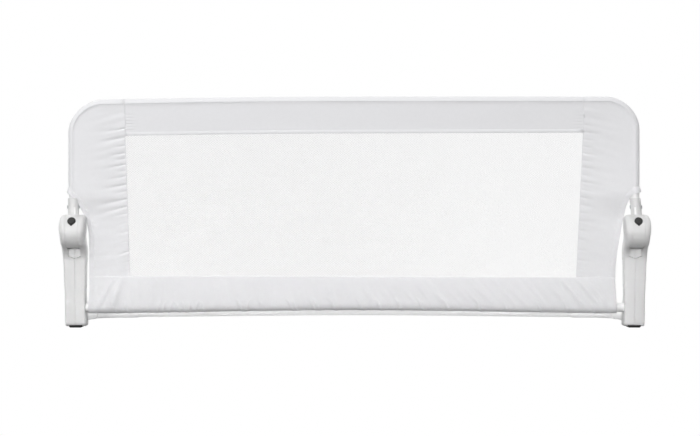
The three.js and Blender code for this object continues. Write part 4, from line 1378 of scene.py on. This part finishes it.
def window_hem(steps=120, width=5.5):
    """The folded lower edge of the top band, standing just proud of it."""
    left, right = -SEAM_X["left"], SEAM_X["right"]
    rows = []
    for i in range(steps + 1):
        x = left + (right - left) * i / steps
        low = window_line(WINDOW_TOP, x)
        section = [(width, 0.1), (width - 0.2, 0.4), (0.5, 0.45), (0, 0.2), (0.1, -0.3)]
        rows.append([top_band_point(x, low + up) - Vector((0, front, 0)) for up, front in section])
    return skin(rows)


band = finished("top_band", settle(merged([top_band(), window_hem()])), CLOTH, "rail",
                ["cover_top_band"], 60)
thick(band, 0.5)
wrap = finished("top_sleeve", settle(top_sleeve()), CLOTH, "rail", crease=60)
thick(wrap, 0.5)
print("top band faces", len(band.data.polygons), "sleeve faces", len(wrap.data.polygons))

# %% [markdown]
# The bottom band hangs from the window, passes in front of the lower tube, turns under it and
# is sewn to itself behind. Its folds lean outwards to both ends, and the tube puckers it.

# %% Bottom band


def fold_lean(x):
    """How far a fold runs sideways on its way down: little on the left, a long way on the right."""
    return -10 * smooth((-150 - x) / 200) + 12 + 38 * smooth((x + 110) / 280)


PLACED_FOLDS = [
    (-404, -24, 5.5, 2.2, 0.0), (-418, -34, 4, 1.5, 0.0), (-350, -6, 5, 1.5, 0.0), (384, 50, 5, 2.2, 0.0),
    (356, 46, 4, 1.5, 0.0), (404, 40, 4, 1.5, 0.0), (292, 48, 5, 1.5, 0.0), (236, 50, 4, 1.3, 0.0),
]


def band_folds():
    rng = random.Random(11)
    folds = []
    for _ in range(84):
        x = rng.uniform(-455, 440)
        wide = rng.uniform(2.4, 7.5)
        strength = wide * rng.uniform(0.05, 0.17)
        folds.append((x, fold_lean(x) + rng.uniform(-6, 6), wide, strength, rng.uniform(0.0, 0.5)))
    return folds + PLACED_FOLDS


TUCK_PLACES = {
    "upright": [-419, -398, -342, -333, -321, -309, -298, -288, -276, -265, -200, -187, -163],
    "leaning": [-112, -105, -73, -66, -38, 9, 42, 77, 115, 160, 216, 262, 321, 368, 414],
}


def band_puckers():
    rng = random.Random(23)
    tucks = []
    for way, places in TUCK_PLACES.items():
        for place in places:
            lean = rng.choice((-7, 7)) if way == "upright" else 9
            tucks.append((place, rng.uniform(1.3, 2.2), rng.uniform(1.4, 2.2), lean))
    return tucks


FOLDS = band_folds()
TUCKS = band_puckers()


def band_lift(x, t):
    """How far the folds stand out of the band, t from its upper seam to the tube."""
    lift = 0.0
    for place, lean, wide, strength, start in FOLDS:
        off = (x - place - lean * t) / wide
        if abs(off) < 3:
            rise = smooth((t - start + 0.15) / 0.4) * (1 - smooth((t - 0.72) / 0.24))
            lift += strength * math.exp(-off * off) * rise
    for place, wide, strength, lean in TUCKS:
        off = (x - place - lean * (t - 0.85) * 5) / wide
        if abs(off) < 3 and t > 0.6:
            lift += strength * math.exp(-off * off) * smooth((t - 0.62) / 0.2)
    return lift


# %% [markdown]
# In section the band falls to the lower tube, rolls under it and comes up behind. Each point also
# says which way is outward, so that the folds can lift the cloth away from the tube.

# %% The band's section


def lower_tube_z(x):
    share = x / CROSS_HALF
    return CROSS_Z + TUBE_RISE * (1 - share * share) ** 2


ROLL_START = 0.8
ROLL_LIFT = 4.5
ROLL_DEPTH = 15.0
ROLL_R = 12.0


def band_section(x):
    """Points (y, z, t, forward, upward) down the band, under the tube and up behind it."""
    centre_z = lower_tube_z(x)
    top = window_line(WINDOW_LOW, x)
    radius = SLEEVE_R + 2.0
    start_y, start_z = cloth_depth(top) - 0.6, top
    end_y, end_z = CROSS_Y - radius, centre_z + ROLL_LIFT
    points = []
    for i in range(24):
        s = i / 24
        y = start_y + (end_y - start_y) * smooth(s) * 0.6 + (end_y - start_y) * s * 0.4
        points.append((y, start_z + (end_z - start_z) * s, s * ROLL_START, -1, 0))
    for i in range(15):
        angle = math.radians(180 + 180 * i / 14)
        out = (math.cos(angle), math.sin(angle))
        t = ROLL_START + (1.14 - ROLL_START) * i / 14
        y = end_y + ROLL_R * (1 + out[0])
        points.append((y, end_z + ROLL_DEPTH * out[1], t, out[0], out[1]))
    rear_top = (start_y + 4.2, centre_z + 24)
    for i in range(1, 6):
        s = i / 5
        rear = end_y + 2 * ROLL_R
        y = rear + (rear_top[0] - rear) * smooth(s)
        points.append((y, end_z + (rear_top[1] - end_z) * s, 1.2, 1, 0))
    return points


def bottom_band():
    columns = 560
    rows = []
    for i in range(columns + 1):
        share = i / columns
        middle = -462 + (462 + 455) * share
        row = []
        for y, z, t, forward, upward in band_section(middle):
            low, high = -free_edge("left", z), free_edge("right", z)
            x = low + (high - low) * share
            near_end = smooth(min(x - low, high - x) / 16 + 0.15)
            lift = band_lift(x, min(t, 1.0)) * (1 - smooth((t - 0.92) / 0.12)) * near_end
            if t < 1:
                lift += hem_rise(min(x - low, high - x), z) * (1 - smooth((t - 0.8) / 0.2))
            if t < ROLL_START:
                lift += 1.1 * math.sin(math.pi * t / ROLL_START) * (0.5 + soft_wave(x, z, 70, 5.0))
            row.append(Vector((x, y + forward * lift, z + upward * lift * 0.8)))
        rows.append(row)
    return skin(rows)


low_band = finished("bottom_band", bottom_band(), CLOTH,
                    "base", ["cover_bottom_band"], 60)
thick(low_band, 0.5)
print("bottom band faces", len(low_band.data.polygons), "folds", len(FOLDS), "tucks", len(TUCKS))

# %% [markdown]
# The window is a knitted mesh of diagonal threads, with a finer filament between each two. A
# see-through sheet would be quicker, but real threads look right from any distance. They are
# curves with a small round section, turned into one mesh, and a little thicker to the left, where
# the window is a little darker. Each has more points where the cloth bends at the hinge.

# %% Window mesh
MESH_PITCH = 4.95
MESH_SLOPE = 1.23
THREAD_R = 0.29
FILAMENT_SHARE = 0.36
TUCK_IN = 3.0


def window_limits(x):
    return window_line(WINDOW_LOW, x) - TUCK_IN, window_line(WINDOW_TOP, x) + TUCK_IN


def thread_heights(low, high):
    """Heights for a thread's points, closer together round the hinge."""
    stops = [low, high] + [z for z in np.arange(BLEND_LOW - 4, BLEND_HIGH + 5, 4.0)]
    stops += [z for z in range(80, 345, 20) if not BLEND_LOW - 6 < z < BLEND_HIGH + 6]
    return sorted({round(float(z), 3) for z in stops if low <= z <= high})


def thread_points(start_x, slope):
    """One thread of the window, leaning one way or the other, cut off at the window's edges."""
    low_z, high_z = 84.0, 342.0
    points = []
    for z in np.arange(low_z, high_z, 0.8):
        x = start_x + slope * (z - low_z)
        bottom, top = window_limits(x)
        left, right = -window_side("left", z) - TUCK_IN, window_side("right", z) + TUCK_IN
        if left <= x <= right and bottom <= z <= top:
            points.append(float(z))
    if len(points) < 4:
        return []
    heights = thread_heights(points[0], points[-1])
    behind = 0.7 + 0.2 * slope
    return [Vector((start_x + slope * (z - low_z), cloth_depth(z) + behind, z)) for z in heights]


def window_mesh():
    curve = bpy.data.curves.new("threads", "CURVE")
    curve.dimensions = "3D"
    curve.bevel_depth = THREAD_R
    curve.bevel_resolution = 0
    curve.use_fill_caps = True
    for slope in (MESH_SLOPE, -MESH_SLOPE):
        first = -400 - (330 if slope > 0 else 0)
        for i in range(2 * int(1130 / MESH_PITCH) + 1):
            points = thread_points(first + i * MESH_PITCH / 2, slope)
            if not points:
                continue
            line = curve.splines.new("POLY")
            line.points.add(len(points) - 1)
            for at, point in zip(line.points, points):
                at.co = (*point, 1)
                at.radius = FILAMENT_SHARE if i % 2 else 1.18 - 0.53 * smooth((point.x + 170) / 520)
    holder = bpy.data.objects.new("threads", curve)
    bpy.context.collection.objects.link(holder)
    made = bmesh.new()
    mesh = bpy.data.meshes.new_from_object(holder.evaluated_get(bpy.context.evaluated_depsgraph_get()))
    made.from_mesh(mesh)
    bpy.data.meshes.remove(mesh)
    bpy.data.objects.remove(holder)
    bpy.data.curves.remove(curve)
    return made


net = finished("window_mesh", settle(window_mesh()), THREAD, None,
               ["window_upper_net", "window_lower_net"], 80)
across_hinge(net)
print("mesh faces", len(net.data.polygons))

# %% [markdown]
# The camera stands level, three metres in front, a little left of the middle, with a lens that
# gives the photograph's perspective.

# %% Camera
PICTURE_WIDTH = 700
FOCAL_PIXELS = 1750
camera_data = bpy.data.cameras.new("camera")
camera_data.sensor_width = 36
camera_data.lens = camera_data.sensor_width * FOCAL_PIXELS / PICTURE_WIDTH
camera = bpy.data.objects.new("camera", camera_data)
camera.location = (-0.0086, AXIS.y * MM - HEAD_R * MM - 2.9988, 0.191)
camera.rotation_euler = (math.pi / 2, 0, 0)
bpy.context.collection.objects.link(camera)
bpy.context.scene.camera = camera
print("camera at", camera.location[:], "lens", camera_data.lens)

# %% [markdown]
# A catalogue photograph is taken on a white sweep with large soft lamps. The floor is plain white
# to the camera. For the light it is dark in front of the guard and bright behind it, so that
# little light comes up on the casings' fronts and the cloth is lit from behind. The sky is
# brighter behind too. Three softboxes light the front: a key from above on the left, a broad
# fill low in front, and a faint strip that reaches under the lower tube.

# %% Studio


def studio_world():
    """Soft light that is strongest from behind. The camera sees plain white behind the guard."""
    world = bpy.data.worlds.new("studio")
    world.use_nodes = True
    studio = Recipe(world.node_tree)
    place = studio.node("ShaderNodeTexCoord", output="Generated")

    def ramp(axis, low, high, least, most):
        value = studio.node("ShaderNodeSeparateXYZ", inputs={0: place}, output=axis)
        limits = {"From Min": low, "From Max": high, "To Min": least, "To Max": most}
        settings = {"interpolation_type": "SMOOTHSTEP"}
        return studio.node("ShaderNodeMapRange", settings, {"Value": value, **limits})

    strength = ramp("Z", 0.0, 1.0, 0.0, 0.3) + ramp("Y", -0.3, 0.9, 0.3, 1.2)
    white = (1, 1, 1, 1)
    sky = studio.node("ShaderNodeBackground", inputs={"Color": white, "Strength": strength})
    plain = studio.node("ShaderNodeBackground", inputs={"Color": white})
    seen = studio.node("ShaderNodeLightPath", output="Is Camera Ray")
    mixed = studio.node("ShaderNodeMixShader", inputs={0: seen, 1: sky, 2: plain})
    studio.feed(studio.tree.nodes["World Output"].inputs["Surface"], mixed)
    bpy.context.scene.world = world


def softbox(name, place, aim, size, power):
    light = bpy.data.lights.new(name, "AREA")
    light.shape = "RECTANGLE"
    light.size, light.size_y = size
    light.energy = power
    made = bpy.data.objects.new(name, light)
    made.location = place
    made.rotation_euler = (Vector(aim) - Vector(place)).to_track_quat("-Z", "Y").to_euler()
    bpy.context.collection.objects.link(made)
    return made


def studio_floor():
    """A sweep that the camera sees as white, dark in front for the light and bright behind."""
    bm = bmesh.new()
    bmesh.ops.create_grid(bm, x_segments=1, y_segments=1, size=30)
    floor = bare_object("floor", bm)
    finish = Finish("pale_floor", Roughness=0.9, Specular_IOR_Level=0.0, Emission_Color=(1, 1, 1, 1))
    seen = finish.node("ShaderNodeLightPath", output="Is Camera Ray")
    depth = finish.node("ShaderNodeSeparateXYZ", inputs={0: finish.place}, output="Y")
    ramp = {"Value": depth, "From Min": -0.12, "From Max": 0.06, "To Min": 0.1, "To Max": 0.92}
    finish.set("Base Color", (1 - seen) * finish.node("ShaderNodeMapRange", inputs=ramp))
    finish.set("Emission Strength", seen)
    floor.data.materials.append(finish.material)
    floor.location.z = -0.0005


studio_world()
studio_floor()
softbox("key", (-1.45, -2.85, 2.4), (0, 0, 0.2), (2.4, 1.0), 43)
softbox("fill", (-0.3, -3.7, 0.42), (0, 0, 0.15), (2.6, 0.8), 71)
low_strip = softbox("low_strip", (-0.4, -3.7, 0.1), (0, 0, -0.02), (2.6, 0.1), 0.5)
low_strip.data.spread = math.radians(14)
bpy.context.scene.view_settings.view_transform = "Standard"
